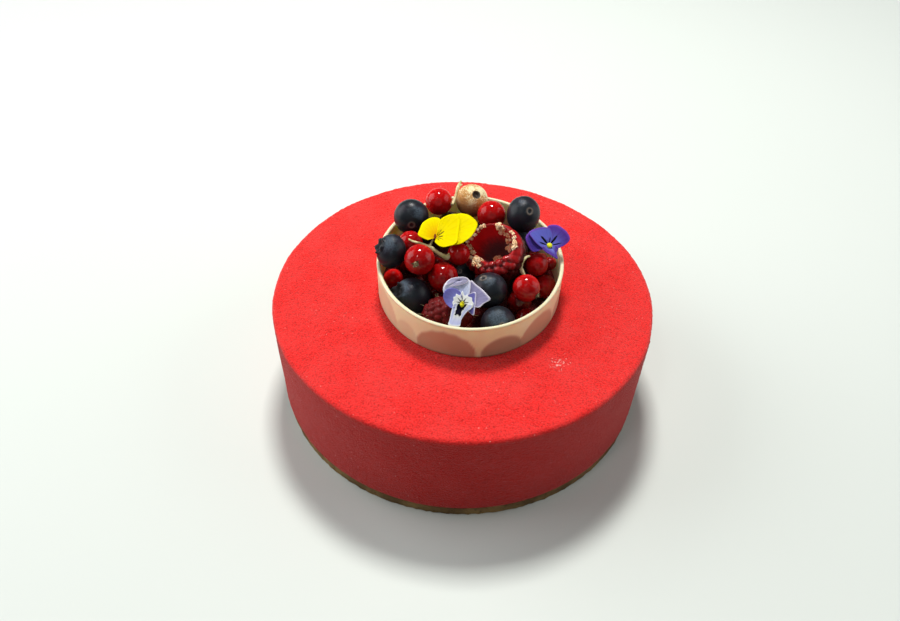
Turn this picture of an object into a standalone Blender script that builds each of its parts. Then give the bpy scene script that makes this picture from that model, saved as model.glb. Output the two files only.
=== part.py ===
"""Round mousse cake with a red velvet coat, and an oval chocolate ring full of berries and violas."""
import math

import bmesh
import bpy
from mathutils import Matrix, Vector

MM = 0.001

# Cake: a 16 cm mousse cake on its own thin biscuit
CAKE_RADIUS = 80 * MM
BASE_HEIGHT = 4.5 * MM
BASE_INSET = 0.4 * MM
COAT_HEIGHT = 43.7 * MM
COAT_TOP_ROUND = 1.6 * MM
COAT_FOOT_ROUND = 1.2 * MM
CAKE_SEGMENTS = 80

# Chocolate ring: a thin band bent to a slightly oval loop, off the middle of the cake
RING_ACROSS = 77.4 * MM
RING_DEEP = 86.0 * MM
RING_HEIGHT = 15.5 * MM
RING_WALL = 1.6 * MM
RING_SEGMENTS = 72
RING_X = 2.5 * MM
RING_Y = 3.0 * MM

# Clear distance kept between pieces that lie on each other
TOUCH = 0.3 * MM
BERRY_TOUCH = 0.4 * MM

FLOOR = BASE_HEIGHT + TOUCH + COAT_HEIGHT
RING_FOOT = FLOOR + TOUCH
RING_TOP = RING_FOOT + RING_HEIGHT

# Berries
BLUEBERRY_MERIDIANS = 15
BLUEBERRY_RINGS = 10
CURRANT_MERIDIANS = 12
CURRANT_RINGS = 8
DRUPELET_POINTS = 3
OPEN_RASPBERRY_RADIUS = 11.8
OPEN_RASPBERRY_WIDENING = 1.06
OPEN_RASPBERRY_DEPTH = 18.6
RIM_SHARE = 0.93
RIM_DEPTH = 3.5
HOLLOW_DEPTH = 12.0
HOLLOW_STEPS = 6
DRUPELET_DEPTH = 0.8
LYING_RASPBERRY_RADIUS = 7.6 * MM
LYING_RASPBERRY_HALF_LENGTH = 10.6 * MM
PETAL_THICKNESS = 0.5 * MM
STEM_RADIUS = 0.65 * MM

# Blueberry of radius 1: its body, its girth across the crown, and the crown round the pit
BERRY_BODY = 0.93
BERRY_GIRTH = 1.06
BERRY_UNEVEN = 0.018
CROWN_ANGLE = 0.47
CROWN_WIDTH = 0.14
CROWN_RISE = 0.03
CROWN_LOBES = 0.035
PIT_WIDTH = 0.26
PIT_DEPTH = 0.12

# Directions of the crowns and calyxes: towards the front and above, where the cake is looked at from
FRONT = Vector((0.0, -0.72, 0.70))
UPWARD = Vector((0.0, 0.70, 0.72))
SIDEWAYS = Vector((1.0, 0.0, 0.0))
DOWNWARD = Vector((0.0, 0.0, -1.0))


def clear_scene():
    """Remove whatever the file starts with."""
    for old in list(bpy.data.objects):
        bpy.data.objects.remove(old, do_unlink=True)


def principled(name, colour, roughness, metallic=0.0):
    """Material of one sub-part."""
    material = bpy.data.materials.new(name)
    material.use_nodes = True
    shader = material.node_tree.nodes["Principled BSDF"]
    shader.inputs["Base Color"].default_value = (*colour, 1.0)
    shader.inputs["Roughness"].default_value = roughness
    shader.inputs["Metallic"].default_value = metallic
    return material


def add_object(name, mesh, material, place, parent):
    """Link a named piece to the cake's collection."""
    piece = bpy.data.objects.new(name, mesh)
    piece.data.materials.clear()
    piece.data.materials.append(material)
    piece.location = place
    piece.parent = parent
    bpy.data.collections["mousse_cake"].objects.link(piece)
    return piece


def mesh_from(bm, name):
    """Finish a bmesh as a smooth shaded mesh."""
    mesh = bpy.data.meshes.new(name)
    bm.to_mesh(mesh)
    bm.free()
    mesh.shade_smooth()
    return mesh


def facing(side, up, front):
    """Direction from its parts to the side, up the picture plane and to the front."""
    return (side * SIDEWAYS + up * UPWARD + front * FRONT).normalized()


def turn_to(direction, spin=0.0):
    """Rotation that takes +Z to a direction, after a spin about +Z."""
    return direction.to_track_quat("Z", "Y").to_matrix() @ Matrix.Rotation(spin, 3, "Z")


def turned_profile(name, outline, segments, material, parent):
    """Solid of revolution: an outline from the axis round its outer side, turned with Screw."""
    mesh = bpy.data.meshes.new(name)
    points = [(radius, 0.0, height) for radius, height in outline]
    edges = [(i, i + 1) for i in range(len(points) - 1)]
    mesh.from_pydata(points, edges, [])
    piece = add_object(name, mesh, material, (0.0, 0.0, 0.0), parent)
    screw = piece.modifiers.new("Turn", "SCREW")
    screw.steps = segments
    screw.render_steps = segments
    screw.use_merge_vertices = True
    screw.merge_threshold = 0.00001
    screw.use_smooth_shade = True
    return piece


def rounded_corner(radius, height, rounding, start, steps):
    """Points of a quarter round in the profile plane, its angles running down from start."""
    return [
        (
            radius + rounding * math.cos(start - math.pi / 2 * i / steps),
            height + rounding * math.sin(start - math.pi / 2 * i / steps),
        )
        for i in range(steps + 1)
    ]


def make_base(parent):
    """Thin biscuit that the cake stands on, set in from the coat."""
    top = BASE_HEIGHT
    radius = CAKE_RADIUS - BASE_INSET
    outline = [(0.0, top), (radius, top), (radius, 0.0), (0.0, 0.0)]
    colour = principled("biscuit", (0.22, 0.13, 0.05), 0.8)
    turned_profile("biscuit_base", outline, CAKE_SEGMENTS, colour, parent)


def make_coated_cake(parent):
    """Mousse under its red coat: a straight wall, a tight rounded top edge and a softer foot."""
    foot = BASE_HEIGHT + TOUCH
    outline = [(0.0, FLOOR)]
    outline += rounded_corner(
        CAKE_RADIUS - COAT_TOP_ROUND, FLOOR - COAT_TOP_ROUND, COAT_TOP_ROUND, math.pi / 2, 3
    )
    outline += rounded_corner(
        CAKE_RADIUS - COAT_FOOT_ROUND, foot + COAT_FOOT_ROUND, COAT_FOOT_ROUND, 0.0, 2
    )
    outline.append((0.0, foot))
    colour = principled("red_velvet", (0.82, 0.045, 0.04), 0.75)
    turned_profile("velvet_cake", outline, CAKE_SEGMENTS, colour, parent)


def make_ring(parent):
    """Chocolate band: an oval open wall given its thickness inward, its rim edges eased."""
    bm = bmesh.new()
    bmesh.ops.create_circle(bm, segments=RING_SEGMENTS, radius=1.0)
    bmesh.ops.scale(bm, vec=(RING_ACROSS / 2, RING_DEEP / 2, 1.0), verts=bm.verts)
    rise = bmesh.ops.extrude_edge_only(bm, edges=bm.edges)
    raised = [item for item in rise["geom"] if isinstance(item, bmesh.types.BMVert)]
    bmesh.ops.translate(bm, vec=(0.0, 0.0, RING_HEIGHT), verts=raised)
    mesh = mesh_from(bm, "chocolate_ring")
    colour = principled("blond_chocolate", (0.82, 0.62, 0.40), 0.35)
    ring = add_object("chocolate_ring", mesh, colour, (RING_X, RING_Y, RING_FOOT), parent)
    wall = ring.modifiers.new("Wall", "SOLIDIFY")
    wall.thickness = RING_WALL
    wall.offset = -1.0
    ease = ring.modifiers.new("Ease", "BEVEL")
    ease.width = 0.3 * MM
    ease.segments = 1
    ease.limit_method = "ANGLE"
    ease.angle_limit = math.radians(60)
    mesh.set_sharp_from_angle(angle=math.radians(40))


class Pile:
    """Balls that fill the ring, each dropped straight down until it touches what lies below."""

    def __init__(self):
        self.balls = []
        inner_across = RING_ACROSS / 2 - RING_WALL
        inner_deep = RING_DEEP / 2 - RING_WALL
        turns = [2 * math.pi * i / 180 for i in range(180)]
        self.wall = [(inner_across * math.cos(t), inner_deep * math.sin(t)) for t in turns]
        self.inner = (inner_across, inner_deep)

    def rest_height(self, x, y, radius):
        """Centre height at which a ball at this plan place comes to rest."""
        height = FLOOR + radius + BERRY_TOUCH
        for centre, other in self.balls:
            apart = math.hypot(centre.x - RING_X - x, centre.y - RING_Y - y)
            reach = radius + other + BERRY_TOUCH
            if apart < reach:
                height = max(height, centre.z + math.sqrt(reach * reach - apart * apart))
        to_wall = min(math.hypot(wx - x, wy - y) for wx, wy in self.wall)
        outside = (x / self.inner[0]) ** 2 + (y / self.inner[1]) ** 2 >= 1
        reach = radius + BERRY_TOUCH
        if outside:
            to_wall = 0.0
        if to_wall < reach:
            height = max(height, RING_TOP + math.sqrt(reach * reach - to_wall * to_wall))
        return height

    def hold(self, centre, radius):
        """Keep a ball at a place found in another way."""
        self.balls.append((centre, radius))

    def drop(self, x, y, radius):
        """Drop a ball and keep it. The place is in millimetres from the ring's centre."""
        height = self.rest_height(x * MM, y * MM, radius)
        centre = Vector((RING_X + x * MM, RING_Y + y * MM, height))
        self.hold(centre, radius)
        return centre

    def tuck(self, x, y, radius):
        """Keep a small ball that lies on the cake, under the overhang of its larger neighbours."""
        height = FLOOR + radius + BERRY_TOUCH
        centre = Vector((RING_X + x * MM, RING_Y + y * MM, height))
        self.hold(centre, radius)
        return centre


def blueberry_point(direction, phase):
    """Surface of a berry of radius 1: flattened, uneven, with a five-lobed crown round a pit at +Z."""
    polar = direction.angle(Vector((0.0, 0.0, 1.0)), 0.0)
    around = math.atan2(direction.y, direction.x)
    narrowed = polar * (1 - 0.5 * math.exp(-((polar / 0.7) ** 2)))
    crown = math.exp(-(((narrowed - CROWN_ANGLE) / CROWN_WIDTH) ** 2))
    pit = math.exp(-((narrowed / PIT_WIDTH) ** 2))
    radius = BERRY_BODY + crown * (CROWN_RISE + CROWN_LOBES * math.cos(5 * around)) - PIT_DEPTH * pit
    girth = BERRY_GIRTH * (1 + BERRY_UNEVEN * math.sin(2 * around + phase))
    return Vector((
        radius * math.sin(narrowed) * math.cos(around) * girth,
        radius * math.sin(narrowed) * math.sin(around) * girth,
        radius * math.cos(narrowed),
    ))


def make_blueberry(name, centre, radius, crown, colour, parent):
    """Blueberry with its crown turned to a direction."""
    phase = centre.x / radius
    turning = turn_to(crown, phase)
    bm = bmesh.new()
    bmesh.ops.create_uvsphere(
        bm, u_segments=BLUEBERRY_MERIDIANS, v_segments=BLUEBERRY_RINGS, radius=1.0
    )
    for vert in bm.verts:
        shaped = blueberry_point(vert.co.normalized(), phase)
        vert.co = turning @ (shaped * radius)
    add_object(name, mesh_from(bm, name), colour, centre, parent)


def make_currant(name, centre, radius, calyx, colour, parent):
    """Redcurrant with the short dry tuft of its flower at one end."""
    turning = turn_to(calyx)
    bm = bmesh.new()
    bmesh.ops.create_uvsphere(
        bm, u_segments=CURRANT_MERIDIANS, v_segments=CURRANT_RINGS, radius=1.0
    )
    for vert in bm.verts:
        polar = vert.co.angle(Vector((0.0, 0.0, 1.0)), 0.0)
        pinch = 1 - 0.55 * math.exp(-((polar / 0.5) ** 2))
        around = math.atan2(vert.co.y, vert.co.x)
        reach = 1.015 + 0.075 * math.exp(-((polar / 0.2) ** 2))
        shaped = Vector((
            math.sin(polar * pinch) * math.cos(around),
            math.sin(polar * pinch) * math.sin(around),
            math.cos(polar * pinch),
        ))
        vert.co = turning @ (shaped * reach * radius)
    add_object(name, mesh_from(bm, name), colour, centre, parent)


def drupelet_rise(around, row, count):
    """Height of the small round drupelets of a raspberry, 0 in the seams and 1 on their tops."""
    return abs(math.sin(count * around / 2 + math.pi / 2 * (row % 2)))


def make_lying_raspberry(name, pile, x, y, colour, parent):
    """Whole raspberry lying on its side, its tip to the right."""
    rows = 7
    count = 11
    body = 0.90
    drupelet = 0.09
    narrowing = 0.16
    ends_apart = 3.2 * MM
    radius = LYING_RASPBERRY_RADIUS
    middle = pile.drop(x, y, radius)
    for side in (-1, 1):
        pile.hold(middle + Vector((side * ends_apart, 0.0, 0.0)), radius - 0.1 * MM)
    turning = turn_to(facing(1.0, 0.12, 0.1))
    bm = bmesh.new()
    bmesh.ops.create_uvsphere(
        bm, u_segments=count * DRUPELET_POINTS, v_segments=2 * rows, radius=1.0
    )
    for vert in bm.verts:
        polar = vert.co.angle(Vector((0.0, 0.0, 1.0)), 0.0)
        around = math.atan2(vert.co.y, vert.co.x)
        ring = round(polar / math.pi * 2 * rows)
        rise = drupelet_rise(around, ring // 2, count) if ring % 2 else 0.0
        width = radius * (1 - narrowing * math.cos(polar))
        length = LYING_RASPBERRY_HALF_LENGTH
        shaped = Vector((vert.co.x * width, vert.co.y * width, vert.co.z * length))
        vert.co = turning @ (shaped * (body + drupelet * rise))
    add_object(name, mesh_from(bm, name), colour, middle, parent)


def open_raspberry_outside(depth):
    """Outer radius of the open raspberry, in millimetres, at a depth below its rim."""
    share = depth / OPEN_RASPBERRY_DEPTH
    lip = RIM_SHARE + (1 - RIM_SHARE) * math.sqrt(min(1.0, depth / RIM_DEPTH))
    return OPEN_RASPBERRY_RADIUS * lip * math.sqrt(max(0.0, 1 - share ** 2.6))


def open_raspberry_outline(step, steps):
    """Radius and height, in millimetres, from the hollow's floor over the rim to the tip."""
    if step <= HOLLOW_STEPS:
        share = step / HOLLOW_STEPS
        radius = OPEN_RASPBERRY_RADIUS * 0.76 * math.sin(share * math.pi / 2) ** 0.62
        return radius, -HOLLOW_DEPTH * (1 - share ** 1.7)
    share = (step - HOLLOW_STEPS) / (steps - HOLLOW_STEPS)
    depth = OPEN_RASPBERRY_DEPTH * share ** 1.15
    return open_raspberry_outside(depth), -depth


def make_open_raspberry(name, pile, rim_centre, lean, colour, parent):
    """Raspberry standing with its hollow open to the top, drupelets on its outside and rim."""
    count = 14
    rings = 18
    axis = lean.normalized()
    turning = turn_to(-axis)
    bm = bmesh.new()
    bmesh.ops.create_uvsphere(
        bm, u_segments=count * DRUPELET_POINTS, v_segments=rings, radius=1.0
    )
    for vert in bm.verts:
        polar = vert.co.angle(Vector((0.0, 0.0, 1.0)), 0.0)
        around = math.atan2(vert.co.y, vert.co.x)
        step = round(polar / math.pi * rings)
        radius, height = open_raspberry_outline(step, rings)
        rise = drupelet_rise(around, step // 2, count) if step % 2 else 0.0
        seam = DRUPELET_DEPTH * (1 - rise) if step >= HOLLOW_STEPS else 0.0
        reach = max(0.0, radius - seam)
        across = reach * math.cos(around) * OPEN_RASPBERRY_WIDENING
        vert.co = turning @ (Vector((across, reach * math.sin(around), height)) * MM)
    add_object(name, mesh_from(bm, name), colour, rim_centre, parent)
    ball = 2.5
    for depth in (2.4, 5.4, 8.4, 11.4, 14.4):
        ring_radius = open_raspberry_outside(depth) - ball
        for i in range(16):
            around = 2 * math.pi * i / 16
            across = math.cos(around) * ring_radius * OPEN_RASPBERRY_WIDENING
            outward = Vector((across, math.sin(around) * ring_radius, -depth))
            pile.hold(rim_centre + turning @ outward * MM, ball * MM)
    pile.hold(rim_centre + axis * 11.5 * MM, 5.6 * MM)


def lift_clear(point, pile, clearance):
    """Move a point of a thin piece out of the berries and off the ring's wall."""
    for _ in range(6):
        for centre, radius in pile.balls:
            away = point - centre
            wanted = radius + clearance
            if away.length < wanted:
                point = centre + away.normalized() * wanted
        x = point.x - RING_X
        y = point.y - RING_Y
        across = RING_ACROSS / 2 - RING_WALL / 2
        deep = RING_DEEP / 2 - RING_WALL / 2
        share = math.hypot(x / across, y / deep)
        from_wall = abs(share - 1) * math.hypot(x, y) / share
        if from_wall < RING_WALL / 2 + clearance:
            point.z = max(point.z, RING_TOP + clearance)
    return point


def make_viola(name, pile, throat, face, outline, waves, colour, parent):
    """Viola as one thin wavy sheet, its petals draped over the berries that it lies on.

    The outline gives the petals' edge round the throat: direction in degrees, distance in
    millimetres.
    """
    spokes = len(outline)
    rings = 4
    clearance = PETAL_THICKNESS / 2 + TOUCH + 0.15 * MM
    normal = face.normalized()
    right = Vector((0.0, 1.0, 0.0)).cross(normal).normalized()
    up = normal.cross(right)
    origin = Vector((RING_X, RING_Y, FLOOR)) + Vector(throat) * MM
    bm = bmesh.new()
    middle = bm.verts.new(lift_clear(origin.copy(), pile, clearance))
    loops = []
    for ring in range(1, rings + 1):
        share = ring / rings
        loop = []
        for direction, edge in outline:
            reach = edge * share
            turn = math.radians(direction)
            rise = 1.1 * share * share + waves * share * math.sin(3 * turn + len(name))
            spot = origin + (
                right * math.cos(turn) * reach + up * math.sin(turn) * reach + normal * rise
            ) * MM
            loop.append(bm.verts.new(lift_clear(spot, pile, clearance)))
        loops.append(loop)
    for spoke in range(spokes):
        after = (spoke + 1) % spokes
        bm.faces.new((middle, loops[0][spoke], loops[0][after]))
        for inner, outer in zip(loops, loops[1:]):
            bm.faces.new((inner[spoke], outer[spoke], outer[after], inner[after]))
    bmesh.ops.triangulate(bm, faces=bm.faces)
    mesh = mesh_from(bm, name)
    flower = add_object(name, mesh, colour, (0.0, 0.0, 0.0), parent)
    thin = flower.modifiers.new("Petal thickness", "SOLIDIFY")
    thin.thickness = PETAL_THICKNESS
    thin.offset = 0.0


def make_stem(name, pile, points, colour, parent):
    """Thin currant stem: a tube through hand-placed points, lifted off what it lies on."""
    clearance = STEM_RADIUS + TOUCH
    route = []
    for x, y, z in points:
        start = Vector((RING_X, RING_Y, FLOOR)) + Vector((x, y, z)) * MM
        route.append(lift_clear(start, pile, clearance))
    curve = bpy.data.curves.new(name, "CURVE")
    curve.dimensions = "3D"
    curve.bevel_depth = STEM_RADIUS
    curve.bevel_resolution = 1
    curve.use_fill_caps = True
    spline = curve.splines.new("POLY")
    spline.points.add(len(route) - 1)
    for spot, place in zip(spline.points, route):
        spot.co = (*place, 1.0)
    add_object(name, curve, colour, (0.0, 0.0, 0.0), parent)
    for start, end in zip(route, route[1:]):
        for share in (0.0, 0.25, 0.5, 0.75, 1.0):
            pile.hold(start.lerp(end, share), STEM_RADIUS + TOUCH)


def fill_ring(parent):
    """Pile of fruit in the ring, from the lowest berries to the flowers on top."""
    pile = Pile()
    blue = principled("blueberry_skin", (0.020, 0.024, 0.045), 0.45)
    gold = principled("gold_dust", (0.65, 0.42, 0.17), 0.35, 0.8)
    red = principled("redcurrant_skin", (0.30, 0.006, 0.010), 0.12)
    raspberry = principled("raspberry_flesh", (0.26, 0.008, 0.014), 0.3)
    stalk = principled("currant_stalk", (0.55, 0.48, 0.24), 0.6)
    away = facing(0.0, 0.2, -1.0)

    def blueberry(name, x, y, diameter, crown=away, skin=blue, place=pile.drop):
        radius = diameter / 2 * MM
        make_blueberry(name, place(x, y, radius), radius, crown, skin, parent)

    def currant(name, x, y, diameter, calyx=away, place=pile.drop):
        radius = diameter / 2 * MM
        make_currant(name, place(x, y, radius), radius, calyx, red, parent)

    # Lowest layer at the back, which holds up the berries that stand over the rim
    blueberry("blueberry_under_back_left", -22.8, 23.7, 11.6, DOWNWARD)
    blueberry("blueberry_under_back", -9.0, 29.8, 14.0, DOWNWARD)
    blueberry("blueberry_under_back_right", 7.7, 27.3, 13.2, DOWNWARD)
    blueberry("blueberry_under_right", 21.1, 20.1, 14.5, DOWNWARD)
    blueberry("blueberry_under_middle", -5.6, 17.2, 13.9, DOWNWARD)
    currant("currant_under_left", -27.0, 8.8, 11.4, DOWNWARD)
    currant("currant_under_right", 29.7, 8.4, 9.9, DOWNWARD)

    # Lowest layer in front, seen over the rim
    blueberry("blueberry_front_left", -23.0, -18.3, 16.0, facing(-0.78, 0.25, 0.57))
    make_lying_raspberry("raspberry_front", pile, -8.0, -27.5, raspberry, parent)
    blueberry("blueberry_front", 11.8, -31.0, 14.0, facing(-0.2, 0.1, -0.9))
    currant("currant_left", -32.0, -3.6, 8.3)
    currant("currant_right_low", 31.3, -5.8, 10.0)
    currant("currant_front_right_low", 20.6, -15.7, 10.1)
    blueberry("blueberry_middle", -2.1, -0.6, 9.9, facing(0.4, -0.3, -0.8))

    # Small berries that lie in the gaps between the lowest ones
    currant("currant_low_centre", -15.3, 0.9, 11.3, away, pile.tuck)
    currant("currant_low_left", -12.7, -12.7, 7.2, away, pile.tuck)
    currant("currant_low_middle", -3.1, -16.9, 8.2, away, pile.tuck)
    currant("currant_low_front", 2.5, -36.0, 7.0, away, pile.tuck)
    currant("currant_low_right", 23.1, -25.1, 8.7, away, pile.tuck)
    blueberry("blueberry_low_right", 20.8, -5.3, 8.3, away, blue, pile.tuck)

    # Berries that the open raspberry leans on
    blueberry("blueberry_centre_front", 7.9, -18.2, 14.7, facing(0.38, -0.68, -0.63))
    currant("currant_centre_left", -10.7, -11.8, 12.1)
    currant("currant_back_right", 8.6, 23.3, 12.4)
    blueberry("blueberry_back_right", 21.9, 19.5, 15.5, facing(-0.31, -0.07, -0.95))

    # Open raspberry, wedged between them with its hollow towards the front
    rim_centre = Vector((RING_X + 7.7 * MM, RING_Y - 0.4 * MM, FLOOR + 21.0 * MM))
    lean = Vector((0.44, 0.35, -0.83))
    make_open_raspberry("raspberry_open", pile, rim_centre, lean, raspberry, parent)

    # Upper layer
    currant("currant_right_small", 33.9, 3.5, 5.4, facing(0.2, 0.9, 0.3))
    currant("currant_right", 27.4, -1.9, 9.7)
    currant("currant_front_right", 22.6, -18.6, 10.9, facing(0.76, -0.60, 0.25))
    currant("currant_centre_small", -4.7, -2.9, 9.2)
    currant("currant_left_back", -25.2, 5.5, 10.3)
    currant("currant_left_front", -20.2, -11.1, 12.2, facing(-0.29, -0.34, 0.89))
    berry_crown = facing(0.56, 0.2, 0.8)
    blueberry("gold_dusted_berry", 0.1, 34.3, 14.6, berry_crown, gold)
    currant("currant_back_left", -14.6, 32.0, 11.9)
    blueberry("blueberry_back_left", -25.8, 18.4, 15.8, facing(-0.1, 0.6, -0.8))
    blueberry("blueberry_left", -32.0, -5.4, 13.2, facing(-0.80, 0.30, 0.52))

    # Stalks of the currants
    left_route = (
        (-24.5, 1.5, 21.5),
        (-20.5, 1.5, 21.5),
        (-16.5, 0.5, 20.5),
        (-13.5, -2.5, 19.5),
        (-10.0, -6.0, 19.0),
    )
    right_route = (
        (26.0, -1.5, 19.5),
        (23.5, -2.5, 18.5),
        (21.5, -5.5, 16.5),
        (20.8, -9.0, 14.5),
    )
    back_route = (
        (-5.6, 38.5, 23.2),
        (-6.6, 36.0, 22.4),
        (-7.6, 33.0, 21.4),
        (-8.8, 29.5, 20.0),
    )
    make_stem("currant_stalk_left", pile, left_route, stalk, parent)
    make_stem("currant_stalk_right", pile, right_route, stalk, parent)
    make_stem("currant_stalk_back", pile, back_route, stalk, parent)

    # Violas, with the edge of their petals anticlockwise round the throat
    yellow = principled("yellow_petal", (0.86, 0.74, 0.01), 0.6)
    yellow_edge = (
        (-107, 2.0), (-83, 3.0), (-69, 4.5), (-56, 6.0), (-35, 7.0), (-21, 8.0), (-14, 10.0),
        (-3, 12.0), (8, 14.0), (20, 16.5), (30, 19.0), (38, 20.0), (47, 20.0), (55, 19.5),
        (63, 18.0), (70, 16.5), (77, 14.5), (84, 12.0), (91, 13.0), (99, 13.5), (108, 13.0),
        (123, 11.5), (141, 9.0), (164, 8.0), (176, 6.0), (195, 3.5), (225, 2.0),
    )
    lying = Vector((0.0, -0.05, 1.0))
    make_viola("viola_yellow", pile, (-14.0, -1.0, 24.5), lying, yellow_edge, 0.5, yellow, parent)
    violet = principled("violet_petal", (0.10, 0.09, 0.42), 0.6)
    violet_edge = (
        (-117, 3.0), (-95, 3.5), (-76, 4.5), (-55, 6.5), (-40, 4.5), (-13, 4.0), (2, 5.0),
        (18, 7.5), (28, 9.5), (45, 9.5), (60, 9.5), (75, 10.0), (89, 9.0), (99, 8.0),
        (112, 8.5), (127, 9.0), (144, 9.5), (156, 10.0), (172, 10.0), (192, 8.5), (205, 7.5),
        (214, 5.5), (228, 3.0),
    )
    leaning = facing(0.15, 0.3, 1.0)
    make_viola("viola_violet", pile, (31.8, 1.2, 21.5), leaning, violet_edge, 0.5, violet, parent)
    lavender = principled("lavender_petal", (0.32, 0.30, 0.58), 0.6)
    lavender_edge = (
        (-95, 8.5), (-89, 6.5), (-81, 4.5), (-62, 4.0), (-47, 5.0), (-38, 6.0), (-17, 5.5),
        (-8, 7.0), (3, 9.0), (11, 11.0), (23, 10.0), (36, 9.5), (57, 9.0), (72, 9.5),
        (84, 10.0), (97, 10.5), (115, 10.5), (129, 10.5), (145, 9.0), (163, 7.5), (182, 6.0),
        (200, 4.5), (210, 4.0), (221, 5.0), (233, 7.0), (240, 9.5), (253, 9.5),
    )
    upright = facing(0.0, 0.12, 1.0)
    throat = (-2.6, -31.0, 17.6)
    make_viola("viola_lavender", pile, throat, upright, lavender_edge, 0.4, lavender, parent)


def main():
    """Build the whole cake."""
    clear_scene()
    collection = bpy.data.collections.new("mousse_cake")
    bpy.context.scene.collection.children.link(collection)
    cake = bpy.data.objects.new("mousse_cake_origin", None)
    collection.objects.link(cake)
    make_base(cake)
    make_coated_cake(cake)
    make_ring(cake)
    fill_ring(cake)


main()
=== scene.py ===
"""Looks of a round mousse cake: red velvet coat, chocolate ring, berries, gold leaf and violas."""

import math
import random

import bmesh
import bpy
from mathutils import Matrix, Vector, noise
from mathutils.bvhtree import BVHTree
from mathutils.kdtree import KDTree


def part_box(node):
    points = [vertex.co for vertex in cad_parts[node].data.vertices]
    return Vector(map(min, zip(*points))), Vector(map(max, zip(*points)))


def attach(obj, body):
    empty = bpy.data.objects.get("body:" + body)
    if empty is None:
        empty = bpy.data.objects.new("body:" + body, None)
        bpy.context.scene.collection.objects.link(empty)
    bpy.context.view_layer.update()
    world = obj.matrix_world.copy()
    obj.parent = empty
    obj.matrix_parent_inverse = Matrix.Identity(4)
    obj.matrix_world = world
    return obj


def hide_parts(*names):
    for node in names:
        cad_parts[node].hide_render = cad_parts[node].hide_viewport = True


bl_info = {
    "name": "Velvet mousse cake",
    "version": (1, 0, 0),
    "blender": (4, 5, 0),
    "location": "3D View > Sidebar > Mousse cake",
    "description": "Dresses the packed solids of a mousse cake with berries and violas",
    "category": "Object",
}

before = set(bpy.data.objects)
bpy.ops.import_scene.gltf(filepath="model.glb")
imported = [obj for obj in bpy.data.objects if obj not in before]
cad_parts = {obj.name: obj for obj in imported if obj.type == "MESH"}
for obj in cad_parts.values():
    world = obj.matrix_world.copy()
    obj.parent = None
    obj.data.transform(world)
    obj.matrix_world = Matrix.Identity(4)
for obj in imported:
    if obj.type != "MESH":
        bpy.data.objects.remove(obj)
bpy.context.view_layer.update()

MM = 0.001
TURN = 2 * math.pi

# Places that the pieces share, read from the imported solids
CAKE_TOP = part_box("velvet_cake")[1].z
RING_LOW, RING_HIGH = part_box("chocolate_ring")
RING_CENTRE = (RING_LOW + RING_HIGH) / 2
RING_HALF_ACROSS = (RING_HIGH.x - RING_LOW.x) / 2
RING_HALF_DEEP = (RING_HIGH.y - RING_LOW.y) / 2
RING_FLOOR = Vector((RING_CENTRE.x, RING_CENTRE.y, CAKE_TOP))

# Directions to the right, up the picture and towards the front above the cake
SIDEWAYS = Vector((1.0, 0.0, 0.0))
UPWARD = Vector((0.0, 0.70, 0.72))
FRONT = Vector((0.0, -0.72, 0.70))
POLE = Vector((0.0, 0.0, 1.0))


def facing(side, up, front):
    """Direction from its parts to the side, up the picture plane and to the front."""
    return (side * SIDEWAYS + up * UPWARD + front * FRONT).normalized()


AWAY = facing(0.0, 0.2, -1.0)

# Round solids: radii of the first loops of points under the berries, and steps of a rounded edge
HIDDEN_LOOPS = (0.0, 12 * MM, 22 * MM, 30 * MM)
EDGE_STEPS = 5

# Coat: the rounding of its top and foot, the finer grain's share of the coarse one, the distance
# between its slow waves, and the heights over its foot where the grain sets in
COAT_ROUND = (1.6 * MM, 1.2 * MM)
FINE_GRAIN = 0.55
WANDER_SIZE = 14 * MM
SMOOTH_FOOT = (0.2 * MM, 1.2 * MM)

# Colours of the coat: depths below the top where the wall's painted shade sets in, the edge of the
# painted shade on the top inside the ring as shares of the ring, and the middle and reach of a small
# cluster of painted glints
WALL_SHADE_START = (0.4 * MM, 2.0 * MM)
GAP_SHADE_EDGE = (0.985, 0.965)
GLINT_SPOT = Vector((38 * MM, -41 * MM, CAKE_TOP))
GLINT_REACH = 3.6 * MM

# Biscuit: the rounding of its top and foot, the steps of its mesh, the width of its crumbly edge,
# and the sizes and heights of its crumbs in millimetres
BISCUIT_ROUND = (0.5 * MM, 0.4 * MM)
BISCUIT_STEP = 0.9 * MM
BISCUIT_STEPS = 360
CRUMBLY_EDGE = (3 * MM, 0.5 * MM)
CRUMBS = ((2.2, 0.45), (0.9, 0.2))
CRUMB_INSET = 0.2 * MM

# Ring: the steps of its mesh, the height of its rounded rim as a share of the wall, how far its
# outer side is set in, how far and over what distances the wall and the rim are uneven, the depths
# where the rim's colour sets in, and how near to each other points merge
RING_STEPS = 288
RING_LEVELS = 22
RING_ARC = 6
RIM_SHARE = 0.42
RING_INSET = 0.15 * MM
WALL_UNEVEN = 0.12
WALL_WAVE = 16 * MM
RIM_UNEVEN = 0.12 * MM
RIM_WAVE = 11 * MM
RIM_BAND = (1.3 * MM, 0.7 * MM)
WELD = 0.01 * MM

# Painted shadows of the berries behind the ring's thin wall: turn round the ring and half width in
# degrees, top in millimetres over the ring's foot, how red and how dark the painted shadow makes the
# wall in front of them, and their scallops
BERRY_SHADOWS = (
    (257, 19.0, 12.8, 0.80, 0.15, 0.5), (291, 13.5, 9.6, 0.25, 0.75, 0.0),
    (317, 15.0, 12.4, 0.70, 0.15, 0.2), (208, 16.0, 13.8, 0.38, 0.05, 0.0),
    (231, 9.0, 9.0, 0.25, 0.05, 0.0), (340, 9.0, 8.0, 0.40, 0.25, 0.0),
    (2, 13.0, 6.5, 0.20, 0.25, 0.0), (70, 15.0, 10.5, 0.10, 0.40, 0.0),
    (148, 14.0, 8.0, 0.10, 0.35, 0.0), (180, 9.0, 10.5, 0.10, 0.30, 0.0),
)
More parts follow.
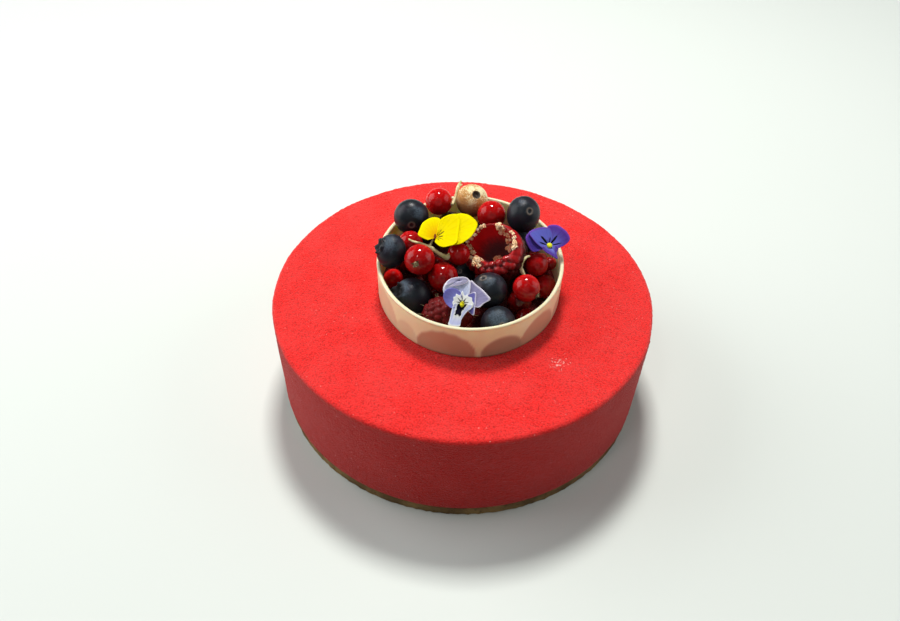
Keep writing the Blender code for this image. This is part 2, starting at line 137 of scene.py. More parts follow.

# How softly these painted shadows end upwards in millimetres and sideways, and the scallops of half a turn
BERRY_SHADOWS_EDGE = (-0.9, 1.5)
BERRY_SHADOWS_SIDE = (1.0, 0.88)
SCALLOPS = 26

# Blueberries: the direction of the crown, how tall and how wide each one stands in the picture,
# the direction of its palest bloom, which on some berries lies where the highlight falls and so is
# partly a painted highlight, and how much of it there is
BLUEBERRIES = {
    "blueberry_back_left": (facing(-0.1, 0.6, -0.8), 1.02, 1.0, facing(0.40, 0.05, 0.90), 0.45),
    "blueberry_back_right": (facing(-0.31, -0.07, -0.95), 1.07, 0.98, facing(-0.3, 0.5, 0.8), 0.25),
    "blueberry_left": (facing(-0.80, 0.30, 0.52), 1.12, 0.99, facing(-0.05, 0.50, 0.85), 0.5),
    "blueberry_front_left": (facing(-0.78, 0.25, 0.57), 1.03, 1.05, facing(-0.55, 0.45, 0.70), 0.75),
    "blueberry_centre_front": (facing(0.38, -0.68, -0.63), 1.04, 1.05, facing(0.05, 0.45, 0.89), 0.35),
    "blueberry_front": (facing(-0.2, 0.1, -0.9), 1.03, 1.05, facing(-0.03, 0.36, 0.93), 0.8),
    "blueberry_middle": (facing(0.4, -0.3, -0.8), 1.0, 1.0, facing(0.0, 0.6, 0.8), 0.1),
    "blueberry_low_right": (AWAY, 1.0, 1.0, facing(0.0, 0.6, 0.8), 0.1),
}

# Blueberries under the others, which share one form, and the form of the gilded berry
UNDER_BLUEBERRIES = (
    "blueberry_under_back_left",
    "blueberry_under_back",
    "blueberry_under_back_right",
    "blueberry_under_right",
    "blueberry_under_middle",
)
UNDER_FORM = (-POLE, 1.0, 1.0, POLE, 0.3)
GILDED_FORM = (facing(0.25, 0.25, 0.93), 1.05, 1.05, POLE, 0.0)
GILDED_CROWN = 0.15

# Blueberry of radius 1: its mesh, its girth, how oval and how dented it is, and its height
BLUEBERRY_MESH = (84, 64)
BERRY_BODY = 0.985
BERRY_OVAL = 0.018
BERRY_DENTS = 0.02
BERRY_HEIGHT = 0.955

# Its spiky crown, the pit in it and the scar at the other end, at angles in radians from the ends,
# and the shares and reaches by which the mesh is drawn to the ends
MESH_TO_CROWN = (0.5, 0.7)
MESH_TO_SCAR = (0.45, 0.5)
CROWN_POINTS = 5
CROWN_SHARPNESS = 1.4
CROWN_ANGLE = 0.45
CROWN_LEAN = 0.04
CROWN_WIDTH = 0.07
CROWN_BASE = 0.03
CROWN_HEIGHT = 0.20
CROWN_COLOURED = (0.58, 0.40)
PIT_DEPTH = 0.17
PIT_EDGE = (0.24, 0.40)
PIT_KNOB = 0.03
PIT_KNOB_WIDTH = 0.09
SCAR_DEPTH = 0.045
SCAR_EDGE = (0.10, 0.16)
SCAR_RIM = 0.018
SCAR_COLOURED = (0.165, 0.045)

# Its colours: the strength of the scar, the least bloom and the reach of the palest, and where the
# gold sets in between its lower and its upper side
SCAR_SHARE = 0.8
BLOOM_LEAST = 0.16
BLOOM_REACH = 0.55
GILT_EDGE = (-0.75, 0.15)

# Redcurrants: how bright each skin is painted, from 0 to 1, as painted light and shade for how each berry is
# lit where it lies
CURRANTS = {
    "currant_left_front": 0.52, "currant_front_right": 0.58, "currant_right_small": 0.30,
    "currant_back_left": 0.84, "currant_back_right": 0.66, "currant_left_back": 0.55,
    "currant_centre_left": 0.40, "currant_centre_small": 0.66, "currant_left": 1.0,
    "currant_right": 0.62, "currant_right_low": 0.45, "currant_front_right_low": 0.08,
    "currant_low_centre": 0.05, "currant_low_left": 0.05, "currant_low_middle": 0.05,
    "currant_low_front": 0.10, "currant_low_right": 0.10, "currant_under_left": 0.2,
    "currant_under_right": 0.2,
}

# Where the dry flower points on the redcurrants that don't turn it away
CURRANT_FLOWERS = {
    "currant_left_front": facing(-0.17, -0.36, 0.92),
    "currant_front_right": facing(0.76, -0.52, 0.38),
    "currant_right_small": facing(0.2, 0.9, 0.3),
    "currant_under_left": -POLE,
    "currant_under_right": -POLE,
}

# Redcurrant of radius 1: its mesh, its girth and dents, the dimple of its stalk and its veins
CURRANT_MESH = (80, 40)
CURRANT_BODY = 0.995
CURRANT_DENTS = 0.006
DIMPLE_DEPTH = 0.05
DIMPLE_WIDTH = 0.18
CURRANT_VEINS = 10
VEIN_EDGE = (0.8, 1.0)

# Its dry flower: the strips and their steps, half width and fold, and the disc that carries them
CALYX_STRIPS = 6
CALYX_STEPS = 4
CALYX_HALF_WIDTH = 0.11
CALYX_FOLD = 0.03
CALYX_DISC = (0.17, 0.07)
DISC_MESH = (10, 6)

# Open raspberry: the middle of its rim, the way its tip points, and its sizes in millimetres
RIM_CENTRE = Vector((RING_CENTRE.x + 7.7 * MM, RING_CENTRE.y - 0.4 * MM, CAKE_TOP + 21.0 * MM))
RIM_LEAN = Vector((0.44, 0.35, -0.83)).normalized()
OPEN_TURNING = (-RIM_LEAN).to_track_quat("Z", "Y").to_matrix()
OPEN_RADIUS = 11.6
OPEN_DEPTH = 18.6
OPEN_WIDENING = 1.06
OPEN_STEPS = 216
OUTSIDE_STEPS = 42

# Its bulge, thicker lip and hollow: sizes in millimetres, and sides and widths in degrees
BULGE = 1.9
BULGE_SIDE = 28
BULGE_WIDTH = 55.0
LIP_DEPTH = 0.9
LIP_STEPS = 8
THICK_LIP = 3.6
THICK_SIDE = 300
HOLLOW_RADIUS = 10.1
HOLLOW_DEPTH = 12.0
HOLLOW_STEPS = 18
HOLLOW_RIDGE = 0.20
HOLLOW_RIDGES = 27
HOLLOW_EDGE = (0.0, 0.06)

# Its rows of drupelets in millimetres: the first one's depth, the room under the last one, the
# distances between rows and between drupelets, how far a place may stray in degrees and in depth,
# their relief, and the depths where painted shade darkens them
FIRST_ROW = 1.9
LAST_ROW = 0.6
ROW_STEP = 2.55
DRUPELET_STEP = 3.1
STRAY_TURN = 2.5
STRAY_DEPTH = 0.3
OPEN_RELIEF = 1.5
SHADE_BELOW = (1.2, 3.6)

# Its back, where the drupelets are faint near the rim: the middle of the front and where the back
# sets in, in degrees, the depths where it ends, and how faint they are
FRONT_SIDE = 295
BACK_EDGE = (60, 85)
BACK_DEPTH = (2.5, 9.0)
FAINTNESS = 0.78

# Drupelets of its front rim: degrees, from its middle and radius in millimetres
RIM_DRUPELETS = (
    (307, 8.2, 1.70), (323, 8.0, 1.85), (343, 8.6, 2.00), (3, 9.2, 1.75), (333, 11.2, 1.85),
    (353, 11.8, 1.85), (315, 10.9, 1.75), (298, 10.4, 1.60), (283, 9.6, 1.60), (268, 10.4, 1.60),
    (253, 10.2, 1.60), (12, 11.8, 1.60),
)

# Gold leaf: places round the open raspberry's rim in degrees, from its middle in millimetres, and
# the size of the flakes there, then their number at a place, how far they stray, and their mesh
LEAF_SPOTS = (
    (151, 10.6, 0.95), (160, 10.6, 0.90), (170, 10.1, 0.90), (180, 9.8, 0.85), (189, 9.9, 1.05),
    (202, 10.8, 0.95), (211, 9.5, 0.95), (220, 8.3, 1.00), (231, 7.4, 0.85), (239, 7.6, 1.15),
    (249, 8.4, 1.00), (260, 7.4, 1.20), (266, 8.9, 1.10), (276, 7.4, 1.15), (283, 8.8, 0.90),
    (286, 6.2, 0.80), (270, 6.0, 0.80), (112, 10.0, 1.35), (101, 10.0, 1.20), (110, 8.8, 0.90),
    (93, 8.9, 1.05), (87, 9.8, 1.10), (75, 9.4, 1.10), (71, 10.5, 0.90), (63, 9.3, 1.00),
    (60, 10.5, 0.95), (58, 8.4, 0.75), (49, 10.3, 1.20), (38, 11.0, 1.10), (42, 9.5, 1.20),
    (32, 10.2, 0.90), (352, 6.3, 1.50), (4, 6.9, 1.20),
)
FLAKES_A_SPOT = 3
LEAF_STRAY_TURN = 4.5
LEAF_STRAY = 0.7
FLAKE_RINGS = 10
FLAKE_SPOKES = 30
FLAKE_WELD = 0.004 * MM
FLAKE_THICKNESS = 0.05 * MM

# Lying raspberry in millimetres: half its length, its girth, the share by which it tapers, the
# steps of its mesh, its rows of drupelets, the distance between them and their relief
LYING_HALF_LENGTH = 9.9
LYING_GIRTH = 7.1
LYING_TAPER = 0.16
LYING_MESH = (132, 88)
LYING_ROWS = 9
LYING_STEP = 2.7
LYING_RELIEF = 1.3

# Its hairs: the share of drupelets that have one, its height over the drupelet's middle in
# millimetres, its length, radius and steps
HAIR_SHARE = 0.4
HAIR_START = 0.7
HAIR_LENGTH = 1.7 * MM
HAIR_RADIUS = 0.06 * MM
HAIR_STEPS = 4

# Currant stalks, from the ring's middle and the cake's top in millimetres, each point with its
# thickness: the main stalk first, then its side branch
STALKS = {
    "currant_stalk_left": (
        (
            (-25.4, 0.6, 22.6, 0.40), (-22.7, -1.4, 23.0, 0.45), (-20.6, -2.2, 23.2, 0.50),
            (-18.6, -3.1, 23.0, 0.60), (-16.6, -3.8, 22.4, 1.00), (-14.0, -4.8, 21.3, 0.75),
            (-11.5, -6.0, 20.4, 0.80), (-9.6, -6.2, 19.6, 1.15), (-8.1, -3.8, 19.9, 0.50),
        ),
        ((-16.5, -3.6, 22.6, 0.70), (-16.0, -2.4, 23.6, 0.45), (-15.4, -1.2, 24.4, 0.30)),
    ),
    "currant_stalk_right": (
        (
            (24.1, -2.7, 19.0, 0.45), (22.5, -4.7, 19.8, 0.50), (21.5, -6.0, 19.3, 0.55),
            (20.9, -6.7, 18.0, 0.60), (20.8, -7.5, 16.5, 0.75), (21.4, -8.2, 15.0, 0.85),
            (22.2, -9.0, 14.0, 0.55),
        ),
    ),
    "currant_stalk_back": (
        (
            (-5.3, 41.4, 24.0, 0.55), (-5.9, 39.9, 23.5, 0.60), (-6.5, 38.2, 22.7, 0.85),
            (-7.0, 36.4, 21.6, 0.60), (-7.6, 34.0, 20.2, 0.65), (-8.4, 31.4, 19.4, 0.80),
            (-8.8, 29.5, 19.6, 0.70),
        ),
        ((-6.4, 38.4, 22.9, 0.50), (-5.4, 38.7, 23.6, 0.40), (-4.6, 39.0, 24.0, 0.30)),
    ),
}
STALK_STEPS = 7
STALK_SPOKES = 12
BARK_SIZE = 0.8 * MM
BARK_UNEVEN = 0.28

# Petals: the steps of a mesh between two points of its outline and out to it, the share of a petal
# where its mesh starts, its thin margins, and the eye's mesh
PETAL_STEPS = 5
PETAL_RINGS = 16
PETAL_START = 0.03
TIP_MARGIN = (0.90, 0.97)
SIDE_MARGIN = (0.93, 0.99)
EYE_MESH = (20, 12)

# Feelers that find a surface: how far apart they are, and from how high, in millimetres
FEELERS = (-1.3, 0.0, 1.3)
FEELER_HEIGHT = 30

# Lights: name, place, size in metres, setting of its power, and colour
WARM = (1.0, 0.985, 0.955)
COOL = (0.97, 0.985, 1.0)
LIGHTS = (
    ("overhead_light", (-0.03, 0.44, 1.00), 0.20, "key_power", WARM),
    ("front_light", (-0.28, -0.38, 0.95), 0.12, "front_power", WARM),
    ("window_light", (-0.15, -1.15, 0.64), 1.20, "window_power", (1.0, 0.99, 0.97)),
    ("left_light", (-1.15, 0.25, 0.62), 1.15, "left_power", COOL),
    ("right_light", (1.15, 0.15, 0.56), 1.05, "right_power", COOL),
)
FLOOR_HALF_WIDTH = 3.0


# Meshes


def add_piece(bm, name, materials):
    """Turn a bmesh into a smooth object of the scene."""
    mesh = bpy.data.meshes.new(name)
    bm.to_mesh(mesh)
    bm.free()
    for material in materials:
        mesh.materials.append(material)
    mesh.polygons.foreach_set("use_smooth", [True] * len(mesh.polygons))
    piece = bpy.data.objects.new(name, mesh)
    bpy.context.scene.collection.objects.link(piece)
    return piece


def dress(piece, slot, *nodes):
    """Let a piece ride on the cake and stand for solids; its slot is not used."""
    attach(piece, "root")
    if nodes:
        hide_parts(*nodes)


def add_layers(bm, *names):
    """Add layers that hold a number at each point of a mesh."""
    return [bm.verts.layers.float.new(name) for name in names]


def circle(steps):
    """Cosine and sine of equal steps round a circle."""
    return [(math.cos(TURN * i / steps), math.sin(TURN * i / steps)) for i in range(steps)]


def angle_apart(first, second):
    """Smallest angle between two directions in degrees."""
    return abs((first - second + 180) % 360 - 180)


def turn_to(direction, spin=0.0):
    """Rotation that takes +Z to a direction, after a spin about +Z."""
    return direction.to_track_quat("Z", "Y").to_matrix() @ Matrix.Rotation(spin, 3, "Z")


def loft(bm, loops, slot=0, closed=True):
    """Skin a row of point loops with quads and return the vertices, loop by loop."""
    rows = [[bm.verts.new(point) for point in loop] for loop in loops]
    count = len(rows[0])
    for row, after in zip(rows, rows[1:]):
        for i in range(count if closed else count - 1):
            j = (i + 1) % count
            face = bm.faces.new((row[i], row[j], after[j], after[i]))
            face.material_index = slot
    return rows


def add_sphere(bm, size):
    """Points of a new unit sphere with so many meridians and rings."""
    return bmesh.ops.create_uvsphere(bm, u_segments=size[0], v_segments=size[1], radius=1.0)["verts"]


def add_ball(bm, size, shape, slot=0):
    """Add a sphere whose points a function puts in their places."""
    faces = set()
    for vert in add_sphere(bm, size):
        vert.co = shape(vert.co.normalized())
        faces.update(vert.link_faces)
    for face in faces:
        face.material_index = slot


def ball_of(node):
    """Centre and radius of a berry's solid."""
    low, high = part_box(node)
    size = high - low
    return (low + high) / 2, (size.x + size.y + size.z) / 6


def bell(value, middle, width):
    """Bell curve that is 1 at its middle."""
    return math.exp(-(((value - middle) / width) ** 2))


def rise(value, start, end):
    """Smooth step from 0 at the start to 1 at the end."""
    share = min(1.0, max(0.0, (value - start) / (end - start)))
    return share * share * (3 - 2 * share)


def smooth_line(points, steps):
    """Points of a smooth curve through a row of vectors."""
    line = []
    for i in range(len(points) - 1):
        before, start = points[max(0, i - 1)], points[i]
        end, after = points[i + 1], points[min(len(points) - 1, i + 2)]
        for step in range(steps):
            t = step / steps
            square = 2 * before - 5 * start + 4 * end - after
            cube = 3 * start - before - 3 * end + after
            line.append(0.5 * (2 * start + (end - before) * t + square * t * t + cube * t ** 3))
    line.append(points[-1])
    return line


# Node trees


def plug(tree, value, socket):
    """Join a socket to another, or give it a constant or a colour."""
    if isinstance(value, bpy.types.NodeSocket):
        tree.links.new(value, socket)
    elif socket.type == "RGBA":
        socket.default_value = (*value, 1.0)
    else:
        socket.default_value = value


def add_node(tree, kind, inputs=None, **settings):
    """Add a node with its settings and inputs."""
    node = tree.nodes.new(kind)
    for name, value in settings.items():
        setattr(node, name, value)
    for name, value in (inputs or {}).items():
        plug(tree, value, node.inputs[name])
    return node


def calc(tree, operation, *values, clamp=False):
    """Output of a Math node."""
    node = add_node(tree, "ShaderNodeMath", operation=operation, use_clamp=clamp)
    for value, socket in zip(values, node.inputs):
        plug(tree, value, socket)
    return node.outputs[0]


def times(tree, first, second):
    """Product of two values."""
    return calc(tree, "MULTIPLY", first, second)


def spread(tree, value, low, high, to_low=0.0, to_high=1.0):
    """Output of a smooth Map Range node."""
    inputs = {"Value": value, "From Min": low, "From Max": high, "To Min": to_low, "To Max": to_high}
    node = add_node(tree, "ShaderNodeMapRange", inputs, interpolation_type="SMOOTHSTEP")
    return node.outputs["Result"]


def blend(tree, share, first, second):
    """Output of a Mix node for colours."""
    node = add_node(tree, "ShaderNodeMix", data_type="RGBA")
    plug(tree, share, node.inputs[0])
    plug(tree, first, node.inputs[6])
    plug(tree, second, node.inputs[7])
    return node.outputs[2]


def noise_value(tree, size, detail=2.0, roughness=0.5, stretch=None):
    """Output of a Noise node with features of a size in metres, in the cake's own space."""
    place = add_node(tree, "ShaderNodeTexCoord").outputs["Object"]
    if stretch is not None:
        place = add_node(tree, "ShaderNodeMapping", {"Vector": place, "Scale": stretch}).outputs["Vector"]
    scale = calc(tree, "DIVIDE", 1.0, size)
    inputs = {"Vector": place, "Scale": scale, "Detail": detail, "Roughness": roughness}
    return add_node(tree, "ShaderNodeTexNoise", inputs).outputs["Fac"]


def point_value(tree, name):
    """Value that the mesh stores at its points."""
    return add_node(tree, "ShaderNodeAttribute", attribute_name=name).outputs["Fac"]


def new_group(name, inputs, outputs):
    """Empty node group with named number inputs and outputs."""
    group = bpy.data.node_groups.new(name, "ShaderNodeTree")
    for label, default in inputs.items():
        socket = group.interface.new_socket(label, in_out="INPUT", socket_type="NodeSocketFloat")
        socket.default_value = default
    for label in outputs:
        group.interface.new_socket(label, in_out="OUTPUT", socket_type="NodeSocketFloat")
    return group, group.nodes.new("NodeGroupInput").outputs, group.nodes.new("NodeGroupOutput").inputs


def use_group(tree, name, **values):
    """Outputs of a node group placed in a tree with its own values."""
    node = tree.nodes.new("ShaderNodeGroup")
    node.node_tree = bpy.data.node_groups[name]
    for label, value in values.items():
        plug(tree, value, node.inputs[label.replace("_", " ")])
    return node.outputs


def use_grain(tree, grain_size, patch_size):
    """Outputs of the fine grain at a size of its grains and of its patches."""
    return use_group(tree, "Fine grain", Grain_size=grain_size, Patch_size=patch_size)


def grain_group():
    """Fine grain: the height of small bumps, and soft patches for colour and roughness."""
    inputs = {"Grain size": 0.001, "Patch size": 0.02}
    group, given, out = new_group("Fine grain", inputs, ("Height", "Patches"))
    coarse = noise_value(group, given["Grain size"], 3.0, 0.6)
    fine = noise_value(group, times(group, given["Grain size"], 0.4), 1.0)
    height = calc(group, "ADD", coarse, times(group, fine, 0.35))
    group.links.new(height, out["Height"])
    patches = noise_value(group, given["Patch size"], 3.0)
    group.links.new(spread(group, patches, 0.3, 0.7), out["Patches"])


def fleck_group():
    """Flecks: a mask of small ragged flecks that covers more of the surface as Cover grows."""
    group, given, out = new_group("Flecks", {"Fleck size": 0.001, "Cover": 0.5}, ("Mask",))
    ragged = noise_value(group, given["Fleck size"], 4.0, 0.65)
    large = noise_value(group, times(group, given["Fleck size"], 4.0), 2.0)
    both = calc(group, "MULTIPLY_ADD", large, 0.6, ragged)
    over = calc(group, "SUBTRACT", both, calc(group, "SUBTRACT", 1.3, given["Cover"]))
    group.links.new(spread(group, over, -0.02, 0.05), out["Mask"])


def bloom_group():
    """Waxy bloom: a patchy pale film, rubbed off in places, with small dots where it has gone."""
    inputs = {"Patch size": 0.006, "Cover": 0.5}
    group, given, out = new_group("Waxy bloom", inputs, ("Film", "Height"))
    patches = noise_value(group, given["Patch size"], 4.0, 0.62)
    low = calc(group, "SUBTRACT", 0.80, given["Cover"])
    film = spread(group, patches, low, calc(group, "ADD", low, 0.34))
    dots = noise_value(group, 0.00045, 2.0)
    group.links.new(times(group, film, spread(group, dots, 0.32, 0.62, 0.35, 1.0)), out["Film"])
    group.links.new(dots, out["Height"])


def petal_group():
    """Petal marks: dark rays from the throat, fine veins, the thin edge and a ragged dark core."""
    inputs = {"Rays": 3.0, "Ray reach": 0.5, "Core reach": 0.3}
    group, given, out = new_group("Petal marks", inputs, ("Rays", "Veins", "Edge", "Core"))
    along = point_value(group, "along")
    across = point_value(group, "across")
    uneven = noise_value(group, 0.0011, 2.0)
    wave = calc(group, "COSINE", times(group, times(group, across, given["Rays"]), math.pi))
    wobble = calc(group, "MULTIPLY_ADD", uneven, 0.3, -0.15)
    reach = spread(group, calc(group, "ADD", along, wobble), 0.10, given["Ray reach"], 0.0, 1.05)
    rays = spread(group, calc(group, "SUBTRACT", wave, reach), 0.0, 0.25)
    group.links.new(times(group, rays, spread(group, along, 0.04, 0.12)), out["Rays"])
    vein_wave = calc(group, "COSINE", times(group, across, 11 * math.pi))
    group.links.new(times(group, spread(group, vein_wave, 0.45, 1.0), uneven), out["Veins"])
    group.links.new(point_value(group, "edge"), out["Edge"])
    ragged = calc(group, "MULTIPLY_ADD", uneven, 0.25, along)
    over_core = calc(group, "SUBTRACT", ragged, given["Core reach"])
    group.links.new(spread(group, over_core, 0.14, 0.10), out["Core"])


GROUP_MAKERS = (grain_group, fleck_group, bloom_group, petal_group)


# Materials


def new_material(name, **constants):
    """Material with a Principled shader and its constant values."""
    material = bpy.data.materials.new(name)
    material.use_nodes = True
    tree = material.node_tree
    for label, value in constants.items():
        plug(tree, value, tree.nodes["Principled BSDF"].inputs[label.replace("_", " ")])
    return material, tree


def finish(material, colour, height, strength, distance, rough=None):
    """Join a colour, a bump and a roughness to a material's shader, and return the material."""
    tree = material.node_tree
    shader = tree.nodes["Principled BSDF"]
    tree.links.new(colour, shader.inputs["Base Color"])
    if rough is not None:
        tree.links.new(rough, shader.inputs["Roughness"])
    inputs = {"Height": height, "Strength": strength, "Distance": distance}
    raised = add_node(tree, "ShaderNodeBump", inputs)
    tree.links.new(raised.outputs["Normal"], shader.inputs["Normal"])
    return material


def grained_material(name, pair, sizes, relief, pores=None, rough=None, **constants):
    """Two colours in soft patches over a fine grain, with pores or creases where the grain is low."""
    material, tree = new_material(name, **constants)
    grain = use_grain(tree, *sizes)
    colour = blend(tree, grain["Patches"], *pair)
    if pores:
        start, full, share, dark = pores
        colour = blend(tree, spread(tree, grain["Height"], start, full, 0.0, share), colour, dark)
    if rough:
        rough = spread(tree, grain["Height"], *rough)
    return finish(material, colour, grain["Height"], *relief, rough)


def biscuit_material(look):
    """Thin baked base: olive brown crumb with darker pores."""
    pair = (look.biscuit_colour, look.biscuit_dark)
    pores = (0.62, 0.42, 0.7, look.biscuit_pore)
    return grained_material(
        "biscuit", pair, (0.0016, 0.012), (0.8, 0.0006), pores, Roughness=0.85, Specular_IOR_Level=0.2
    )


def calyx_material(look):
    """Dry brown flower at the end of a redcurrant, paler on its folds."""
    pair = (look.calyx_colour, look.calyx_pale)
    return grained_material("dry_flower", pair, (0.0005, 0.0012), (0.6, 0.0002), Roughness=0.85)


def stalk_material(look, name):
    """Dry pale stalk or hair, greener in patches."""
    pair = (look.stalk_colour, look.stalk_green)
    return grained_material(name, pair, (0.0007, 0.003), (0.5, 0.0002), Roughness=0.6)


def gold_leaf_material(look):
    """Crumpled gold leaf, with painted highlights in pale patches and brown painted shade in its creases."""
    # Painted highlights in pale patches, painted shade in the creases
    pair = (look.leaf_colour, look.leaf_highlight)
    creases = (0.66, 0.52, 0.85, look.leaf_crease_shade)
    rough = (0.4, 0.9, 0.34, 0.5)
    return grained_material(
        "gold_leaf", pair, (0.0006, 0.0014), (0.9, 0.0003), creases, rough, Specular_IOR_Level=0.7
    )


def throat_material(first, second):
    """Eye of a viola, mottled with a second colour."""
    pair = (first, second)
    return grained_material(
        "viola_throat", pair, (0.0005, 0.0009), (0.6, 0.0002), Roughness=0.6, Specular_IOR_Level=0.1
    )


def velvet_material(look):
    """Sprayed cocoa-butter velvet: bright grains, deep red pits between them, painted shade on its wall and
    on the top inside the ring, and a few painted glints.
    """
    material, tree = new_material(
        "red_velvet",
        Specular_IOR_Level=0.06,
        Sheen_Weight=0.25,
        Sheen_Roughness=0.30,
        Sheen_Tint=(1.0, 0.84, 0.80),
    )
    grain = use_grain(tree, look.grain_size * 0.42, 0.012)
    colour = blend(tree, spread(tree, grain["Height"], 0.46, 0.70), look.pit_colour, look.coat_colour)
    colour = blend(tree, times(tree, grain["Patches"], 0.20), colour, look.bright_colour)
    # Painted shade: the coat's wall turns a deeper red than its top, for the light that misses it
    colour = blend(tree, times(tree, point_value(tree, "wall"), look.wall_shade_share), colour, look.wall_shade_colour)
    # Painted shade: the top inside the ring turns nearly black, for the shade under the berries
    colour = blend(tree, times(tree, point_value(tree, "stained"), 0.95), colour, look.gap_shade_colour)
    # Painted glints: pale specks from fine noise, thickest round the glint spot
    sprayed = calc(tree, "MULTIPLY_ADD", point_value(tree, "sprayed"), 0.22, noise_value(tree, 0.0009, 1.0))
    colour = blend(tree, spread(tree, sprayed, 0.75, 0.80, 0.0, 0.8), colour, look.glint_colour)
    rough = spread(tree, grain["Height"], 0.4, 0.9, 0.85, 0.45)
    return finish(material, colour, grain["Height"], 1.0, 0.0009, rough)


def chocolate_material(look):
    """Thin blond chocolate: smooth and waxy, its wall darker and pinker in painted shadows where a berry
    lies behind it.
    """
    material, tree = new_material(
        "blond_chocolate",
        Specular_IOR_Level=0.35,
        Subsurface_Weight=0.30,
        Subsurface_Radius=(0.004, 0.0025, 0.0015),
        Subsurface_Scale=1.0,
    )
    grain = use_grain(tree, 0.003, 0.016)
    colour = blend(tree, grain["Patches"], look.chocolate_colour, look.chocolate_deep)
    # Painted shadows of the berries behind the wall: redder behind red berries, darker behind blueberries
    for layer, shade in (("pressed_red", look.berry_shadow_colour), ("pressed_dark", look.pressed_dark)):
        colour = blend(tree, times(tree, point_value(tree, layer), look.berry_shadow_share), colour, shade)
    colour = blend(tree, point_value(tree, "rim"), colour, look.rim_colour)
    rough = spread(tree, grain["Patches"], 0.0, 1.0, 0.36, 0.5)
    return finish(material, colour, grain["Height"], 0.12, 0.0003, rough)


def blueberry_material(look):
    """Near-black skin under a patchy blue-grey bloom, browner in the crown."""
    material, tree = new_material("blueberry_skin", Specular_IOR_Level=0.22)
    film = use_group(tree, "Waxy bloom", Patch_size=0.0034, Cover=point_value(tree, "bloom"))
    tint = spread(tree, noise_value(tree, 0.005), 0.42, 0.66)
    colour = blend(tree, tint, look.blueberry_colour, look.blueberry_plum)
    colour = blend(tree, times(tree, film["Film"], 0.85), colour, look.bloom_colour)
    colour = blend(tree, point_value(tree, "crown"), colour, look.crown_colour)
    colour = blend(tree, point_value(tree, "scar"), colour, look.scar_colour)
    rough = spread(tree, film["Film"], 0.0, 1.0, 0.34, 0.70)
    return finish(material, colour, film["Height"], 0.35, 0.00014, rough)


def gilded_material(look):
    """Berry skin brushed with cream gold in fine streaks, bare brown on its lower side."""
    material, tree = new_material("gold_dust", Specular_IOR_Level=0.4)
    flecks = use_group(tree, "Flecks", Fleck_size=0.0013, Cover=0.66)
    gilt = point_value(tree, "gilt")
    mask = times(tree, flecks["Mask"], gilt)
    streaks = noise_value(tree, 0.0008, 3.0, 0.7, (2.2, 0.9, 1.4))
    clouds = calc(tree, "SUBTRACT", noise_value(tree, 0.0050), 0.5)
    streaks = calc(tree, "MULTIPLY_ADD", clouds, 0.9, streaks)
    gold = blend(tree, spread(tree, streaks, 0.47, 0.58), look.gold_colour, look.gold_pale)
    colour = blend(tree, mask, blend(tree, gilt, look.gilded_skin, look.gilded_warm), gold)
    pit = spread(tree, point_value(tree, "crown"), 0.94, 1.0, 0.0, 0.92)
    colour = blend(tree, pit, colour, look.crown_colour)
    return finish(material, colour, streaks, 1.0, 0.0006, spread(tree, mask, 0.0, 1.0, 0.55, 0.36))


def currant_material(look):
    """Taut clear skin over red flesh, with faint paler meridian veins."""
    material, tree = new_material(
        "redcurrant_skin",
        Subsurface_Weight=0.8,
        Subsurface_Radius=(0.006, 0.0005, 0.0004),
        Subsurface_Scale=1.0,
        Coat_Weight=0.52,
        Coat_Roughness=0.06,
        Specular_IOR_Level=0.0,
    )
    grain = use_grain(tree, 0.0016, 0.005)
    # Painted light and shade: each berry's red is set lighter or darker for how it is lit
    colour = blend(tree, point_value(tree, "bright"), look.currant_deep, look.currant_colour)
    colour = blend(tree, times(tree, grain["Patches"], 0.22), colour, look.currant_deep)
    colour = blend(tree, times(tree, point_value(tree, "vein"), 0.14), colour, look.currant_vein)
    rough = spread(tree, grain["Patches"], 0.0, 1.0, 0.46, 0.60)
    return finish(material, colour, grain["Height"], 0.05, 0.0002, rough)


def raspberry_material(name, look, drupelet, seam, coat):
    """Moist drupelets of a raspberry, its seams, and the dull ridged wall of its hollow, with painted shade
    low on its outside and deep in its hollow, and painted light on the hollow's upper wall.
    """
    material, tree = new_material(
        name,
        Subsurface_Weight=0.35,
        Subsurface_Radius=(0.003, 0.0004, 0.0004),
        Subsurface_Scale=1.0,
        Coat_Roughness=0.12,
        Specular_IOR_Level=0.10,
    )
    grain = use_grain(tree, 0.0009, 0.004)
    colour = blend(tree, grain["Patches"], drupelet, [part * 0.6 for part in drupelet])
    colour = blend(tree, point_value(tree, "seam"), colour, seam)
    # Painted shade: drupelets far below the rim turn almost black
    low = times(tree, point_value(tree, "low"), 0.92)
    colour = blend(tree, low, colour, look.raspberry_low_shade)
    depth = point_value(tree, "hollow")
    # Painted light and shade in the hollow: its upper wall lighter red where light shines through, its floor
    # nearly black
    wall = blend(tree, spread(tree, depth, 0.45, 0.95), look.hollow_lit_wall, look.hollow_shade)
    colour = blend(tree, spread(tree, depth, 0.02, 0.12), colour, wall)
    rough = spread(tree, grain["Patches"], 0.0, 1.0, 0.32, 0.48)
    rough = calc(tree, "ADD", rough, times(tree, depth, 0.5), clamp=True)
    dry = calc(tree, "ADD", depth, low, clamp=True)
    coat = spread(tree, dry, 0.0, 0.7, coat, 0.0)
    tree.links.new(coat, tree.nodes["Principled BSDF"].inputs["Coat Weight"])
    return finish(material, colour, grain["Height"], 0.25, 0.0002, rough)


